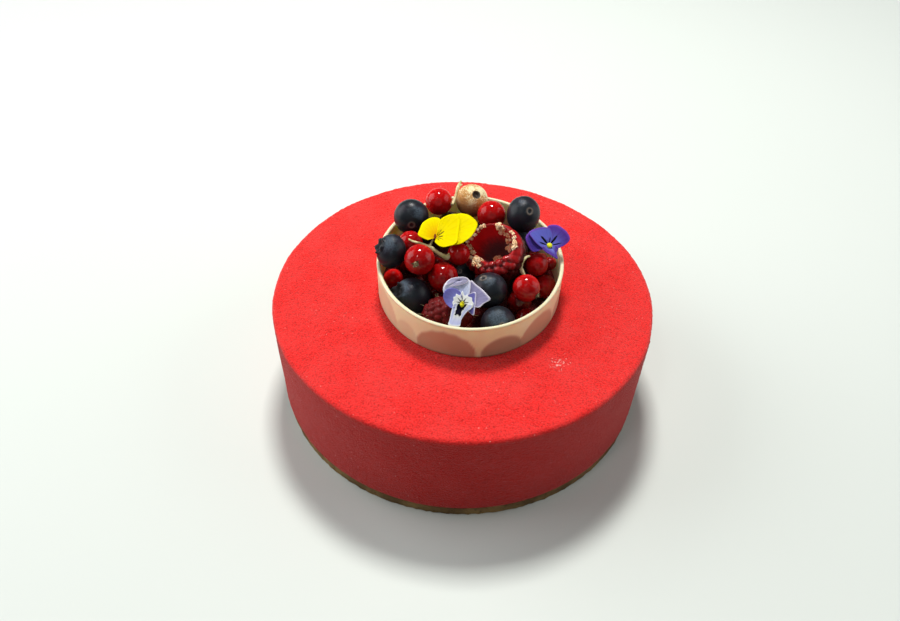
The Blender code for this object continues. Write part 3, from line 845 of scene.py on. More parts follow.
def petal_material(name, look, inner, outer, edge, rays=(0.0, 0.11), core=None):
    """Soft petal: colour from the throat to the tip, a core, rays, veins and an edge."""
    material, tree = new_material(
        name,
        Subsurface_Weight=0.12,
        Subsurface_Radius=(0.001, 0.001, 0.001),
        Subsurface_Scale=1.0,
        Specular_IOR_Level=0.02,
    )
    count, reach = rays
    core_colour, core_reach = core or (inner, 0.0)
    marks = use_group(tree, "Petal marks", Rays=count, Ray_reach=reach, Core_reach=core_reach)
    colour = blend(tree, spread(tree, point_value(tree, "along"), 0.2, 0.9), inner, outer)
    colour = blend(tree, times(tree, marks["Veins"], 0.30), colour, [part * 0.62 for part in outer])
    colour = blend(tree, marks["Edge"], colour, edge)
    if core:
        colour = blend(tree, marks["Core"], colour, core_colour)
    if count > 0:
        colour = blend(tree, marks["Rays"], colour, look.ray_colour)
    rough = spread(tree, use_grain(tree, 0.0005, 0.003)["Patches"], 0.0, 1.0, 0.6, 0.8)
    return finish(material, colour, marks["Veins"], 0.4, 0.00015, rough)


# Cake


def turned_outline(low, high, rounds, step):
    """Points from the middle of the top over its edge and down the wall to the middle of the foot."""
    top_round, foot_round = rounds
    flat = high.x - top_round
    inner = HIDDEN_LOOPS[-1]
    count = int((flat - inner) / step)
    points = [(radius, high.z) for radius in HIDDEN_LOOPS]
    points += [(inner + (flat - inner) * i / count, high.z) for i in range(1, count)]
    for i in range(EDGE_STEPS + 1):
        angle = math.pi / 2 * (1 - i / EDGE_STEPS)
        points.append((flat + top_round * math.cos(angle), high.z - top_round * (1 - math.sin(angle))))
    wall_low = low.z + foot_round
    wall_high = high.z - top_round
    count = int((wall_high - wall_low) / step)
    points += [(high.x, wall_high - (wall_high - wall_low) * i / count) for i in range(1, count)]
    for i in range(EDGE_STEPS + 1):
        angle = -math.pi / 2 * i / EDGE_STEPS
        points.append((high.x - foot_round * (1 - math.cos(angle)), wall_low + foot_round * math.sin(angle)))
    points.append((0.0, low.z))
    return points


def turned_mesh(points, steps):
    """Bmesh of an outline turned once round the upright axis, both of its ends on the axis."""
    bm = bmesh.new()
    turns = circle(steps)
    rows = loft(bm, [[(r * c, r * s, z) for c, s in turns] for r, z in points[1:-1]])
    top = bm.verts.new((0.0, 0.0, points[0][1]))
    bottom = bm.verts.new((0.0, 0.0, points[-1][1]))
    for i in range(steps):
        j = (i + 1) % steps
        bm.faces.new((top, rows[0][j], rows[0][i]))
        bm.faces.new((bottom, rows[-1][i], rows[-1][j]))
    bmesh.ops.recalc_face_normals(bm, faces=bm.faces)
    bm.normal_update()
    return bm


def make_velvet(look):
    """Coated cake with real grain on its surface and a slightly wandering edge."""
    low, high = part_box("velvet_cake")
    points = turned_outline(low, high, COAT_ROUND, look.grain_step)
    bm = turned_mesh(points, int(TURN * high.x / look.grain_step))
    wall, stained, sprayed = add_layers(bm, "wall", "stained", "sprayed")
    for vert in bm.verts:
        place = vert.co
        # Painted shade on the wall, from just below the top's edge downwards
        vert[wall] = rise(high.z - place.z, *WALL_SHADE_START)
        across = (place.x - RING_CENTRE.x) / RING_HALF_ACROSS
        deep = (place.y - RING_CENTRE.y) / RING_HALF_DEEP
        # Painted shade on the top inside the ring
        vert[stained] = rise(math.hypot(across, deep), *GAP_SHADE_EDGE)
        # Painted glints gathered round one spot on the top
        vert[sprayed] = bell((place - GLINT_SPOT).length, 0.0, GLINT_REACH)
        coarse = noise.noise(place / look.grain_size)
        fine = noise.noise(place / (look.grain_size * FINE_GRAIN) + Vector((7.0, 3.0, 5.0)))
        wander = noise.noise(place / WANDER_SIZE) * look.wander
        on_coat = rise(place.z, low.z + SMOOTH_FOOT[0], low.z + SMOOTH_FOOT[1])
        amount = look.grain_height * (0.8 * coarse + 0.6 * fine) + wander
        vert.co = place + vert.normal * amount * on_coat
    piece = add_piece(bm, "velvet_coat", [velvet_material(look)])
    dress(piece, "red_velvet", "velvet_cake")


def make_biscuit(look):
    """Thin base with a crumbly edge."""
    low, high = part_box("biscuit_base")
    bm = turned_mesh(turned_outline(low, high, BISCUIT_ROUND, BISCUIT_STEP), BISCUIT_STEPS)
    for vert in bm.verts:
        out = Vector((vert.co.x, vert.co.y, 0.0))
        on_edge = rise(out.length, high.x - CRUMBLY_EDGE[0], high.x - CRUMBLY_EDGE[1])
        crumb = sum(noise.noise(vert.co / (size * MM)) * depth * MM for size, depth in CRUMBS)
        if out.length > 0:
            vert.co += out.normalized() * (crumb - CRUMB_INSET) * on_edge
    piece = add_piece(bm, "biscuit_layer", [biscuit_material(look)])
    dress(piece, "biscuit", "biscuit_base")


def berry_shadow_share(turn, height):
    """How red and how dark the painted berry shadows make the ring's wall at a turn in degrees and a height
    in millimetres.
    """
    red = dark = 0.0
    for middle, half, top, redness, darkness, scallop in BERRY_SHADOWS:
        across = angle_apart(turn, middle) / half
        if across < 1.0:
            edge = top * math.sqrt(1 - across ** 2) - scallop * abs(math.sin(math.radians(turn * SCALLOPS)))
            cover = rise(edge - height, *BERRY_SHADOWS_EDGE) * rise(across, *BERRY_SHADOWS_SIDE)
            red = max(red, redness * cover)
            dark = max(dark, darkness * cover)
    return red, dark


def ring_section(height, wall, uneven):
    """Closed section of the band: distance inward and height, up the outer side and down the inner."""
    rim = wall * RIM_SHARE
    points = [(RING_INSET * uneven, height * i / RING_LEVELS) for i in range(RING_LEVELS)]
    for i in range(RING_ARC + 1):
        angle = math.pi * i / RING_ARC
        points.append((wall / 2 - wall / 2 * math.cos(angle), height - rim + rim * math.sin(angle)))
    points += [(wall, height * (RING_LEVELS - i) / RING_LEVELS - rim) for i in range(2, RING_LEVELS)]
    points.append((wall, 0.0))
    return points


def make_ring(look):
    """Hand-bent band of chocolate: an oval wall with a soft rim, a little uneven all round."""
    height = RING_HIGH.z - RING_LOW.z
    bm = bmesh.new()
    red_layer, dark_layer, rim_layer = add_layers(bm, "pressed_red", "pressed_dark", "rim")
    loops = []
    for c, s in circle(RING_STEPS):
        out = Vector((RING_HALF_DEEP * c, RING_HALF_ACROSS * s, 0.0)).normalized()
        foot = Vector((RING_CENTRE.x + RING_HALF_ACROSS * c, RING_CENTRE.y + RING_HALF_DEEP * s, RING_LOW.z))
        uneven = noise.noise(foot / WALL_WAVE)
        tall = height + RIM_UNEVEN * noise.noise(foot / RIM_WAVE) - RIM_UNEVEN
        section = ring_section(tall, look.wall * (1 + WALL_UNEVEN * uneven), 1 + uneven)
        loops.append([foot - out * inward + POLE * z for inward, z in section])
    for i, row in enumerate(loft(bm, loops + loops[:1])):
        for vert in row:
            # Painted berry shadows on the wall
            red, dark = berry_shadow_share(360 * i / RING_STEPS, (vert.co.z - RING_LOW.z) / MM)
            vert[red_layer] = red
            vert[dark_layer] = dark
            vert[rim_layer] = rise(vert.co.z, RING_HIGH.z - RIM_BAND[0], RING_HIGH.z - RIM_BAND[1])
    bmesh.ops.remove_doubles(bm, verts=bm.verts, dist=WELD)
    bmesh.ops.recalc_face_normals(bm, faces=bm.faces)
    piece = add_piece(bm, "chocolate_band", [chocolate_material(look)])
    dress(piece, "blond_chocolate", "chocolate_ring")


# Berries


def blueberry_shape(direction, phase, crown_share):
    """Unit blueberry, and how much of a point is crown and scar.

    It is oblate, with a spiky five-pointed crown round its pit, and at its other end the round
    scar of its stalk.
    """
    polar = direction.angle(POLE, 0.0)
    around = math.atan2(direction.y, direction.x)
    other = math.pi - polar
    angle = polar * (1 - MESH_TO_CROWN[0] * bell(polar, 0.0, MESH_TO_CROWN[1]))
    angle += other * MESH_TO_SCAR[0] * bell(other, 0.0, MESH_TO_SCAR[1])
    below = math.pi - angle
    near = angle / (0.6 + 0.4 * crown_share)
    star = (0.5 + 0.5 * math.cos(CROWN_POINTS * around)) ** CROWN_SHARPNESS
    ragged = 0.8 + 0.5 * noise.noise(Vector((around * 1.7, phase, 2.0)))
    spike = CROWN_BASE + CROWN_HEIGHT * star * ragged
    crown = bell(near, CROWN_ANGLE - CROWN_LEAN * star, CROWN_WIDTH) * spike * crown_share
    pit = PIT_DEPTH * (1 - rise(near, *PIT_EDGE)) - PIT_KNOB * bell(near, 0.0, PIT_KNOB_WIDTH)
    scar = SCAR_DEPTH * (1 - rise(below, *SCAR_EDGE)) - SCAR_RIM * bell(below, 0.17, 0.04)
    dents = BERRY_DENTS * noise.noise(direction * 1.3 + Vector((phase, 0.0, 0.0)))
    radius = BERRY_BODY + crown - pit - scar + dents
    point = Vector((
        radius * math.sin(angle) * math.cos(around) * (1.0 + BERRY_OVAL * math.sin(2 * around + phase)),
        radius * math.sin(angle) * math.sin(around),
        radius * math.cos(angle) * BERRY_HEIGHT,
    ))
    return point, rise(near, *CROWN_COLOURED), bell(below, *SCAR_COLOURED)


def make_blueberry(name, node, form, material, slot, crown_share=1.0):
    """One blueberry in the place of its solid."""
    crown, tall, wide, bloom_highlight_side, bloom_share = form
    centre, radius = ball_of(node)
    phase = centre.x / radius
    turning = turn_to(crown, phase)
    bm = bmesh.new()
    crown_layer, scar_layer, bloom_layer, gilt_layer = add_layers(bm, "crown", "scar", "bloom", "gilt")
    for vert in add_sphere(bm, BLUEBERRY_MESH):
        shaped, on_crown, on_scar = blueberry_shape(vert.co.normalized(), phase, crown_share)
        offset = turning @ (shaped * radius)
        side = offset.normalized()
        offset += UPWARD * offset.dot(UPWARD) * (tall - 1) + SIDEWAYS * offset.x * (wide - 1)
        vert.co = centre + offset
        vert[crown_layer] = on_crown
        vert[scar_layer] = on_scar * SCAR_SHARE
        # Pale bloom gathered round that side: real bloom, and partly a painted highlight
        vert[bloom_layer] = BLOOM_LEAST + bloom_share * bell(side.angle(bloom_highlight_side), 0.0, BLOOM_REACH)
        vert[gilt_layer] = rise(side.dot(UPWARD) * 0.8 + side.x * 0.35, *GILT_EDGE)
    piece = add_piece(bm, name, [material])
    dress(piece, slot, node)


def add_calyx(bm, place):
    """Dry flower on a unit redcurrant: short crumpled strips that stand up from a small disc."""
    for i, (c, s) in enumerate(circle(CALYX_STRIPS)):
        out = Vector((c, s, 0.0))
        side = Vector((-s, c, 0.0))
        lean = 0.5 + 0.4 * math.sin(i * 2.3)
        loops = []
        for step in range(CALYX_STEPS + 1):
            share = step / CALYX_STEPS
            half = side * (CALYX_HALF_WIDTH * (1 - 0.75 * share))
            middle = out * (0.10 + 0.24 * share * lean) + POLE * (0.99 + 0.20 * share * (1.2 - lean))
            fold = out * CALYX_FOLD * math.sin(6 * share + i)
            strip = (middle - half + fold, middle + out * 0.02 - fold, middle + half + fold)
            loops.append([place(point) for point in strip])
        loft(bm, loops, slot=1, closed=False)
    disc, thickness = CALYX_DISC
    add_ball(bm, DISC_MESH, lambda d: place(Vector((d.x * disc, d.y * disc, d.z * thickness + 1.0))), 1)


def make_currant(node, bright, materials):
    """One redcurrant in the place of its solid, with its dry flower."""
    centre, radius = ball_of(node)
    turning = turn_to(CURRANT_FLOWERS.get(node, AWAY))
    bm = bmesh.new()
    vein_layer, painted_light_layer = add_layers(bm, "vein", "bright")

    def place(point):
        return centre + turning @ (point * radius)

    for vert in add_sphere(bm, CURRANT_MESH):
        direction = vert.co.normalized()
        polar = direction.angle(POLE, 0.0)
        wave = math.cos(CURRANT_VEINS * math.atan2(direction.y, direction.x))
        vert[vein_layer] = rise(wave, *VEIN_EDGE) * math.sin(polar)
        # Painted light and shade: one brightness for the whole berry
        vert[painted_light_layer] = bright
        dimple = DIMPLE_DEPTH * bell(math.pi - polar, 0.0, DIMPLE_WIDTH)
        dents = CURRANT_DENTS * noise.noise(direction * 1.6 + centre * 300)
        vert.co = place(direction * (CURRANT_BODY - dimple + dents))
    add_calyx(bm, place)
    piece = add_piece(bm, node + "_berry", materials)
    dress(piece, "redcurrant_skin", node)


# Raspberries


class Drupelets:
    """Round drupelets that push a smooth surface out and meet in seams."""

    def __init__(self, spots):
        self.radii = [radius for _, radius in spots]
        self.tree = KDTree(len(spots))
        for i, (place, _) in enumerate(spots):
            self.tree.insert(place, i)
        self.tree.balance()

    def swell(self, point):
        """Height of the drupelet over a point, from 0 in the seams to 1."""
        best = 0.0
        for _, index, distance in self.tree.find_n(point, 4):
            best = max(best, 1 - (distance / (self.radii[index] * MM)) ** 2)
        return math.sqrt(best)

    def push(self, verts, layer, height, share):
        """Push points out along their normals and note the seams."""
        for vert in verts:
            part = share(vert)
            high = self.swell(vert.co)
            vert[layer] = (1 - high) * part
            vert.co += vert.normal * height * MM * (high - 0.5) * part


def open_place(radius, depth, around):
    """Place of a radius and a depth in millimetres and a turn in degrees on the open raspberry."""
    turn = math.radians(around)
    across = radius * math.cos(turn) * OPEN_WIDENING
    return RIM_CENTRE + OPEN_TURNING @ (Vector((across, radius * math.sin(turn), -depth)) * MM)


def open_outside(depth, around):
    """Outer radius of the open raspberry, in millimetres, at a depth below its rim."""
    lip = 0.93 + 0.07 * math.sqrt(min(1.0, depth / 3.5))
    body = OPEN_RADIUS * lip * math.sqrt(max(0.0, 1 - (depth / OPEN_DEPTH) ** 2.6))
    bulge = BULGE * bell(angle_apart(around, BULGE_SIDE), 0.0, BULGE_WIDTH)
    return body + bulge * rise(depth, -1.0, 2.5) * (1 - rise(depth, 7.0, 15.0))


def open_outline(around):
    """Radius, depth and share of the hollow's depth, from the hollow's floor over the rim to the tip."""
    inner = HOLLOW_RADIUS - THICK_LIP * rise(angle_apart(around, THICK_SIDE), 95, 45)
    ridge = HOLLOW_RIDGE * math.sin(math.radians(HOLLOW_RIDGES * around))
    outline = []
    for i in range(1, HOLLOW_STEPS + 1):
        share = i / HOLLOW_STEPS
        deep = 1 - share ** 1.8
        radius = inner * math.sin(share * math.pi / 2) ** 0.62
        radius += ridge * rise(share, 0.15, 0.35) * rise(share, 0.72, 0.45)
        outline.append((radius, HOLLOW_DEPTH * deep, deep))
    width = open_outside(LIP_DEPTH, around) - inner
    for i in range(1, LIP_STEPS):
        share = i / LIP_STEPS
        height = (0.25 + 0.22 * width) * math.sin(math.pi * share)
        outline.append((inner + width * share, LIP_DEPTH * share - height, 0.0))
    for i in range(OUTSIDE_STEPS):
        share = i / (OUTSIDE_STEPS - 1)
        depth = LIP_DEPTH + (OPEN_DEPTH * 0.995 - LIP_DEPTH) * share ** 1.12
        outline.append((max(0.05, open_outside(depth, around)), depth, 0.0))
    return outline


def open_drupelets(look, draws):
    """Places and radii of the drupelets on the open raspberry's rim and outside."""
    spots = [(open_place(radius, 0.2, around), size) for around, radius, size in RIM_DRUPELETS]
    depth = FIRST_ROW
    row_number = 0
    while depth < OPEN_DEPTH - LAST_ROW:
        count = max(5, round(TURN * open_outside(depth, 180) / DRUPELET_STEP))
        for i in range(count):
            around = 360 * (i + 0.5 * (row_number % 2)) / count + draws.uniform(-STRAY_TURN, STRAY_TURN)
            low = depth + draws.uniform(-STRAY_DEPTH, STRAY_DEPTH)
            spot = open_place(open_outside(low, around), low, around)
            spots.append((spot, look.drupelet * draws.uniform(0.9, 1.12)))
        depth += ROW_STEP
        row_number += 1
    return spots


def leaf_places(look, tree, draws):
    """Place, direction and size of every flake of gold leaf, found from the front on a surface."""
    leaf = []
    for around, radius, size in LEAF_SPOTS:
        for _ in range(FLAKES_A_SPOT):
            near = around + draws.uniform(-LEAF_STRAY_TURN, LEAF_STRAY_TURN)
            start = open_place(radius + draws.uniform(-LEAF_STRAY, LEAF_STRAY), 0.0, near)
            hit, normal, _, _ = tree.ray_cast(start + FRONT * FEELER_HEIGHT * MM, -FRONT)
            if hit is not None:
                tilt = POLE * 0.5 + Vector([draws.uniform(-0.4, 0.4) for _ in range(3)])
                wide = size * look.leaf_size * draws.uniform(0.65, 1.05)
                leaf.append((hit, (normal * 0.35 + FRONT * 0.5 + tilt).normalized(), wide))
    return leaf


def make_open_raspberry(look, materials):
    """Raspberry standing open: a ridged hollow, and drupelets over its rim and outside."""
    bm = bmesh.new()
    seam, hollow, dark = add_layers(bm, "seam", "hollow", "low")
    turns = [360 * i / OPEN_STEPS for i in range(OPEN_STEPS)]
    outlines = [open_outline(around) for around in turns]
    loops = [
        [open_place(radius, depth, around) for (radius, depth, _), around in zip(level, turns)]
        for level in zip(*outlines)
    ]
    rows = loft(bm, loops)
    for row, (_, _, deep) in zip(rows, outlines[0]):
        for vert in row:
            vert[hollow] = deep
    for row, depth in ((rows[0], HOLLOW_DEPTH), (rows[-1], OPEN_DEPTH)):
        tip = bm.verts.new(open_place(0.0, depth, 0))
        tip[hollow] = row[0][hollow]
        for first, second in zip(row, row[1:] + row[:1]):
            bm.faces.new((tip, first, second))
    bmesh.ops.recalc_face_normals(bm, faces=bm.faces)
    bm.normal_update()
    upright = OPEN_TURNING.transposed()

    def relief(vert):
        local = upright @ (vert.co - RIM_CENTRE) / MM
        behind = rise(angle_apart(math.degrees(math.atan2(local.y, local.x)), FRONT_SIDE), *BACK_EDGE)
        faint = behind * (1 - rise(-local.z, *BACK_DEPTH))
        outside = 1 - rise(vert[hollow], *HOLLOW_EDGE)
        # Painted shade on the outside, deeper below the rim
        vert[dark] = rise(-local.z, *SHADE_BELOW) * outside
        return outside * (1 - FAINTNESS * faint)

    draws = random.Random(11)
    Drupelets(open_drupelets(look, draws)).push(list(bm.verts), seam, OPEN_RELIEF, relief)
    leaf = leaf_places(look, BVHTree.FromBMesh(bm), draws)
    piece = add_piece(bm, "open_raspberry", materials)
    dress(piece, "raspberry_flesh", "raspberry_open")
    return leaf


def add_hair(bm, start, out, bend):
    """Fine dry hair left on a drupelet."""
    side = out.cross(bend).normalized()
    loops = []
    for i in range(HAIR_STEPS + 1):
        share = i / HAIR_STEPS
        middle = start + out * HAIR_LENGTH * share + bend * HAIR_LENGTH * 0.5 * share * share
        width = HAIR_RADIUS * (1 - 0.6 * share)
        loops.append([middle + (side * c + bend * s) * width for c, s in circle(3)])
    loft(bm, loops, 1)


def lying_width(polar):
    """Radius of the lying raspberry, in millimetres, at an angle from its tip."""
    return LYING_GIRTH * (1 - LYING_TAPER * math.cos(polar)) * math.sin(polar)


def make_lying_raspberry(look, materials):
    """Whole raspberry on its side, tip to the right, with fine hairs between its drupelets."""
    low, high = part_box("raspberry_front")
    centre = (low + high) / 2
    turning = turn_to(facing(1.0, 0.12, 0.1))
    draws = random.Random(5)
    bm = bmesh.new()
    seam, _ = add_layers(bm, "seam", "hollow")

    def surface(polar, around):
        width, along = lying_width(polar), LYING_HALF_LENGTH * math.cos(polar)
        return centre + turning @ (Vector((width * math.cos(around), width * math.sin(around), along)) * MM)

    add_ball(bm, LYING_MESH, lambda d: surface(d.angle(POLE, 0.0), math.atan2(d.y, d.x)))
    bm.normal_update()
    spots = []
    hairs = []
    for row in range(LYING_ROWS):
        polar = math.pi * (row + 0.45) / LYING_ROWS
        count = max(3, round(TURN * lying_width(polar) / LYING_STEP))
        for i in range(count):
            around = TURN * (i + 0.5 * (row % 2)) / count + draws.uniform(-0.06, 0.06)
            spot = surface(polar + draws.uniform(-0.03, 0.03), around)
            spots.append((spot, look.drupelet * draws.uniform(0.92, 1.12)))
            if draws.random() < HAIR_SHARE:
                bend = Vector((draws.uniform(-1, 1), draws.uniform(-1, 1), 0.4)).normalized()
                hairs.append((spot, (spot - centre).normalized(), bend))
    Drupelets(spots).push(list(bm.verts), seam, LYING_RELIEF, lambda vert: 1.0)
    for spot, out, bend in hairs:
        add_hair(bm, spot + out * HAIR_START * MM, out, bend)
    piece = add_piece(bm, "lying_raspberry", materials)
    dress(piece, "raspberry_flesh", "raspberry_front")


def make_gold_leaf(look, leaf):
    """Crumpled flakes of gold leaf pressed on the rim of the open raspberry."""
    bm = bmesh.new()
    for number, (spot, out, size) in enumerate(leaf):
        turning = turn_to(out, number * 2.4)
        loops = []
        for ring in range(FLAKE_RINGS + 1):
            loop = []
            for c, s in circle(FLAKE_SPOKES):
                ragged = 1.0 + 0.55 * noise.noise(Vector((c, s, number)) * 1.5)
                reach = max(0.01, ring / FLAKE_RINGS) * ragged
                flat = Vector((c * reach, s * reach * 0.85, 0.0))
                fold = 0.55 * noise.noise(flat * 1.9 + Vector((0, 0, number * 3.1)))
                crease = 0.26 * noise.noise(flat * 4.5 + Vector((number * 1.7, 0, 0)))
                dome = 0.45 * (1 - reach * reach * 0.7)
                loop.append(spot + turning @ (Vector((flat.x, flat.y, dome + fold + crease)) * size))
            loops.append(loop)
        loft(bm, loops)
    bmesh.ops.remove_doubles(bm, verts=bm.verts, dist=FLAKE_WELD)
    piece = add_piece(bm, "gold_leaf_flakes", [gold_leaf_material(look)])
    thin = piece.modifiers.new("Leaf thickness", "SOLIDIFY")
    thin.thickness = FLAKE_THICKNESS
    dress(piece, "gold_dust")


# Stalks


def make_stalk(node, routes, material):
    """Currant stalk: a thin uneven tube with a side branch, thicker where berries hung."""
    bm = bmesh.new()
    for route in routes:
        line = smooth_line([Vector(point) for point in route], STALK_STEPS)
        loops = []
        for i, point in enumerate(line):
            ahead = (line[min(i + 1, len(line) - 1)] - line[max(i - 1, 0)]).to_3d().normalized()
            side = ahead.cross(POLE).normalized()
            up = side.cross(ahead)
            spot = RING_FLOOR + point.to_3d() * MM
            loop = []
            for c, s in circle(STALK_SPOKES):
                out = side * c + up * s
                bark = 1 + BARK_UNEVEN * noise.noise((spot + out * point.w * MM) / BARK_SIZE)
                loop.append(spot + out * point.w * bark * MM)
            loops.append(loop)
        rows = loft(bm, loops)
        bm.faces.new(rows[0])
        bm.faces.new(rows[-1])
    bmesh.ops.recalc_face_normals(bm, faces=bm.faces)
    piece = add_piece(bm, node + "_bark", [material])
    dress(piece, "currant_stalk", node)


# Violas


class Flower:
    """Plane of a viola: its throat, its three directions and the draped solid under its petals."""

    def __init__(self, node, throat, face):
        self.node = node
        self.origin = RING_FLOOR + Vector(throat) * MM
        self.normal = face.normalized()
        self.right = Vector((0.0, 1.0, 0.0)).cross(self.normal).normalized()
        self.up = self.normal.cross(self.right)
        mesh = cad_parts[node].data
        self.tree = BVHTree.FromPolygons([v.co for v in mesh.vertices], [p.vertices for p in mesh.polygons])

    def spot(self, across, upward):
        """Place in the plane, from millimetres to the right and up."""
        return self.origin + (self.right * across + self.up * upward) * MM

    def height(self, across, upward):
        """Mean height of the draped solid round a place in the plane, in millimetres."""
        found = []
        for dx in FEELERS:
            for dy in FEELERS:
                spot = self.spot(across + dx, upward + dy)
                hit = self.tree.ray_cast(spot + self.normal * FEELER_HEIGHT * MM, -self.normal)
                if hit[0] is not None:
                    found.append((hit[0] - spot).dot(self.normal) / MM)
        if found:
            return sum(found) / len(found)
        spot = self.spot(across, upward)
        return (self.tree.find_nearest(spot)[0] - spot).dot(self.normal) / MM

    def point(self, across, upward, height):
        """Point at a height over a place in the plane, in millimetres, leaning back as it rises."""
        lean = height * self.normal.dot(UPWARD) / self.up.dot(UPWARD)
        return self.origin + (self.right * across + self.up * (upward - lean) + self.normal * height) * MM


def add_petal(bm, layers, flower, petal, slot):
    """One petal: a fan from its base to a smooth outline, ruffled and laid on the draped solid."""
    outline, base, lift, ruffle, cup = petal
    along_layer, across_layer, edge_layer = layers
    edge = smooth_line([
        Vector((math.cos(math.radians(degrees)) * reach, math.sin(math.radians(degrees)) * reach))
        for degrees, reach in outline
    ], PETAL_STEPS)
    start = Vector(base)
    places = [-1 + 2 * i / (len(edge) - 1) for i in range(len(edge))]
    shares = [PETAL_START + (1 - PETAL_START) * ring / PETAL_RINGS for ring in range(PETAL_RINGS + 1)]
    loops = []
    for share in shares:
        loop = []
        for tip, across in zip(edge, places):
            spot = start + (tip - start) * share
            height = flower.height(spot.x, spot.y) + lift * rise(share, 0.0, 0.4)
            height += ruffle * share * share * math.sin(6 * across + outline[0][0])
            height += cup * share * share * (across * across - 0.3)
            loop.append(flower.point(spot.x, spot.y, height))
        loops.append(loop)
    for share, row in zip(shares, loft(bm, loops, slot, closed=False)):
        for across, vert in zip(places, row):
            vert[along_layer] = share
            vert[across_layer] = across
            side = rise(abs(across), *SIDE_MARGIN) * rise(share, 0.3, 0.6)
            vert[edge_layer] = max(rise(share, *TIP_MARGIN), side)


def make_viola(name, slot, flower, petals, materials, eye, look):
    """A viola: overlapping petals, each with its own material, and the eye in its throat."""
    bm = bmesh.new()
    layers = add_layers(bm, "along", "across", "edge")
    for petal, material_index in petals:
        add_petal(bm, layers, flower, petal, material_index)
    bmesh.ops.recalc_face_normals(bm, faces=bm.faces)
    x, y, wide, tall, lift = eye
    base = flower.height(x, y) + lift

    def eye_point(d):
        uneven = 1 + 0.25 * noise.noise(d * 2.5 + Vector((x, y, 0)))
        return flower.point(x + d.x * wide * uneven, y + d.y * tall * uneven, base + d.z * 0.4)

    add_ball(bm, EYE_MESH, eye_point, len(materials) - 1)
    piece = add_piece(bm, name, materials)
    sheet = piece.modifiers.new("Petal thickness", "SOLIDIFY")
    sheet.thickness = look.petal_thickness
    sheet.offset = 0.0
    dress(piece, slot, flower.node)


def make_yellow_viola(look):
    """Yellow viola lying open between the berries at the left."""
    flower = Flower("viola_yellow", (-14.0, -1.0, 24.5), Vector((0.0, -0.05, 1.0)))
    right = (
        (68, 15.0), (63, 18.0), (55, 19.6), (47, 20.0), (37, 19.8), (30, 19.0), (20, 16.5), (8, 14.0),
        (-3, 11.8), (-14, 9.9), (-23, 7.8),
    )
    left = (
        (-165, 3.5), (176, 5.9), (164, 7.8), (141, 9.0), (123, 11.3), (108, 12.9), (99, 13.3),
        (91, 13.1), (84, 11.9), (73, 9.0),
    )
    middle = (
        (88, 7.0), (84, 11.9), (77, 14.5), (70, 16.4), (63, 17.4), (53, 15.3), (41, 12.0), (22, 9.4),
        (-2, 8.6), (-21, 8.1), (-35, 6.8), (-56, 5.8), (-69, 4.6), (-83, 3.2), (-107, 1.8),
    )
    petals = (
        ((right, (1.0, 1.5), 0.2, 0.25, 0.3), 2),
        ((left, (0.2, 0.8), 0.6, 0.25, 0.5), 1),
        ((middle, (0.0, 1.2), 1.0, 0.35, 0.3), 0),
    )
    edge = look.yellow_edge
    materials = [
        petal_material("yellow_petal", look, look.yellow, look.yellow, edge, (7.0, 0.42)),
        petal_material("yellow_petal_deep", look, look.yellow_deep, look.yellow, edge),
        petal_material("yellow_petal_right", look, look.yellow, look.yellow_olive, edge),
        throat_material(look.yellow_mark, look.yellow_mark),
    ]
    eye = (-0.6, 1.3, 0.42, 1.5, 1.3)
    make_viola("yellow_viola", "yellow_petal", flower, petals, materials, eye, look)


def make_violet_viola(look):
    """Violet viola at the right, with dark rays round its eye."""
    flower = Flower("viola_violet", (31.8, 1.2, 21.5), facing(0.15, 0.3, 1.0))
    back = (
        (-133, 2.2), (-145, 4.0), (-146, 5.8), (-152, 7.6), (-168, 8.7), (172, 10.2), (156, 9.8), (150, 7.0),
    )
    left = (
        (-152, 3.2), (180, 5.6), (164, 8.3), (156, 10.0), (144, 9.5), (127, 8.7), (107, 8.1), (92, 7.4),
        (81, 5.4), (71, 3.0),
    )
    right = (
        (96, 3.2), (98, 6.7), (99, 8.4), (89, 9.3), (75, 9.9), (60, 9.8), (45, 9.8), (28, 9.4),
        (16, 7.3), (2, 4.8), (-26, 2.6),
    )
    lower = ((-160, 3.5), (-117, 3.3), (-76, 4.2), (-55, 6.4), (-40, 4.2), (-13, 3.9), (6, 3.0))
    petals = (
        ((back, (0.0, 0.0), 0.0, 0.2, 0.3), 1),
        ((right, (0.2, 0.0), 0.4, 0.3, 0.4), 2),
        ((left, (0.0, 0.0), 0.7, 0.3, 0.4), 0),
        ((lower, (0.2, 0.3), 1.0, 0.2, 0.2), 3),
    )
    edge = look.violet_edge
    materials = [
        petal_material("violet_petal", look, look.violet, look.violet, edge, (3.0, 0.74)),
        petal_material("violet_petal_back", look, look.violet_deep, look.violet_deep, edge),
        petal_material("violet_petal_right", look, look.violet, look.violet_purple, edge, (4.0, 0.78)),
        petal_material("violet_petal_lower", look, look.violet_light, look.violet_purple, edge, (2.0, 0.30)),
        throat_material(look.eye_yellow, look.eye_green),
    ]
    eye = (0.0, 0.1, 1.0, 0.95, 1.5)
    make_viola("violet_viola", "violet_petal", flower, petals, materials, eye, look)


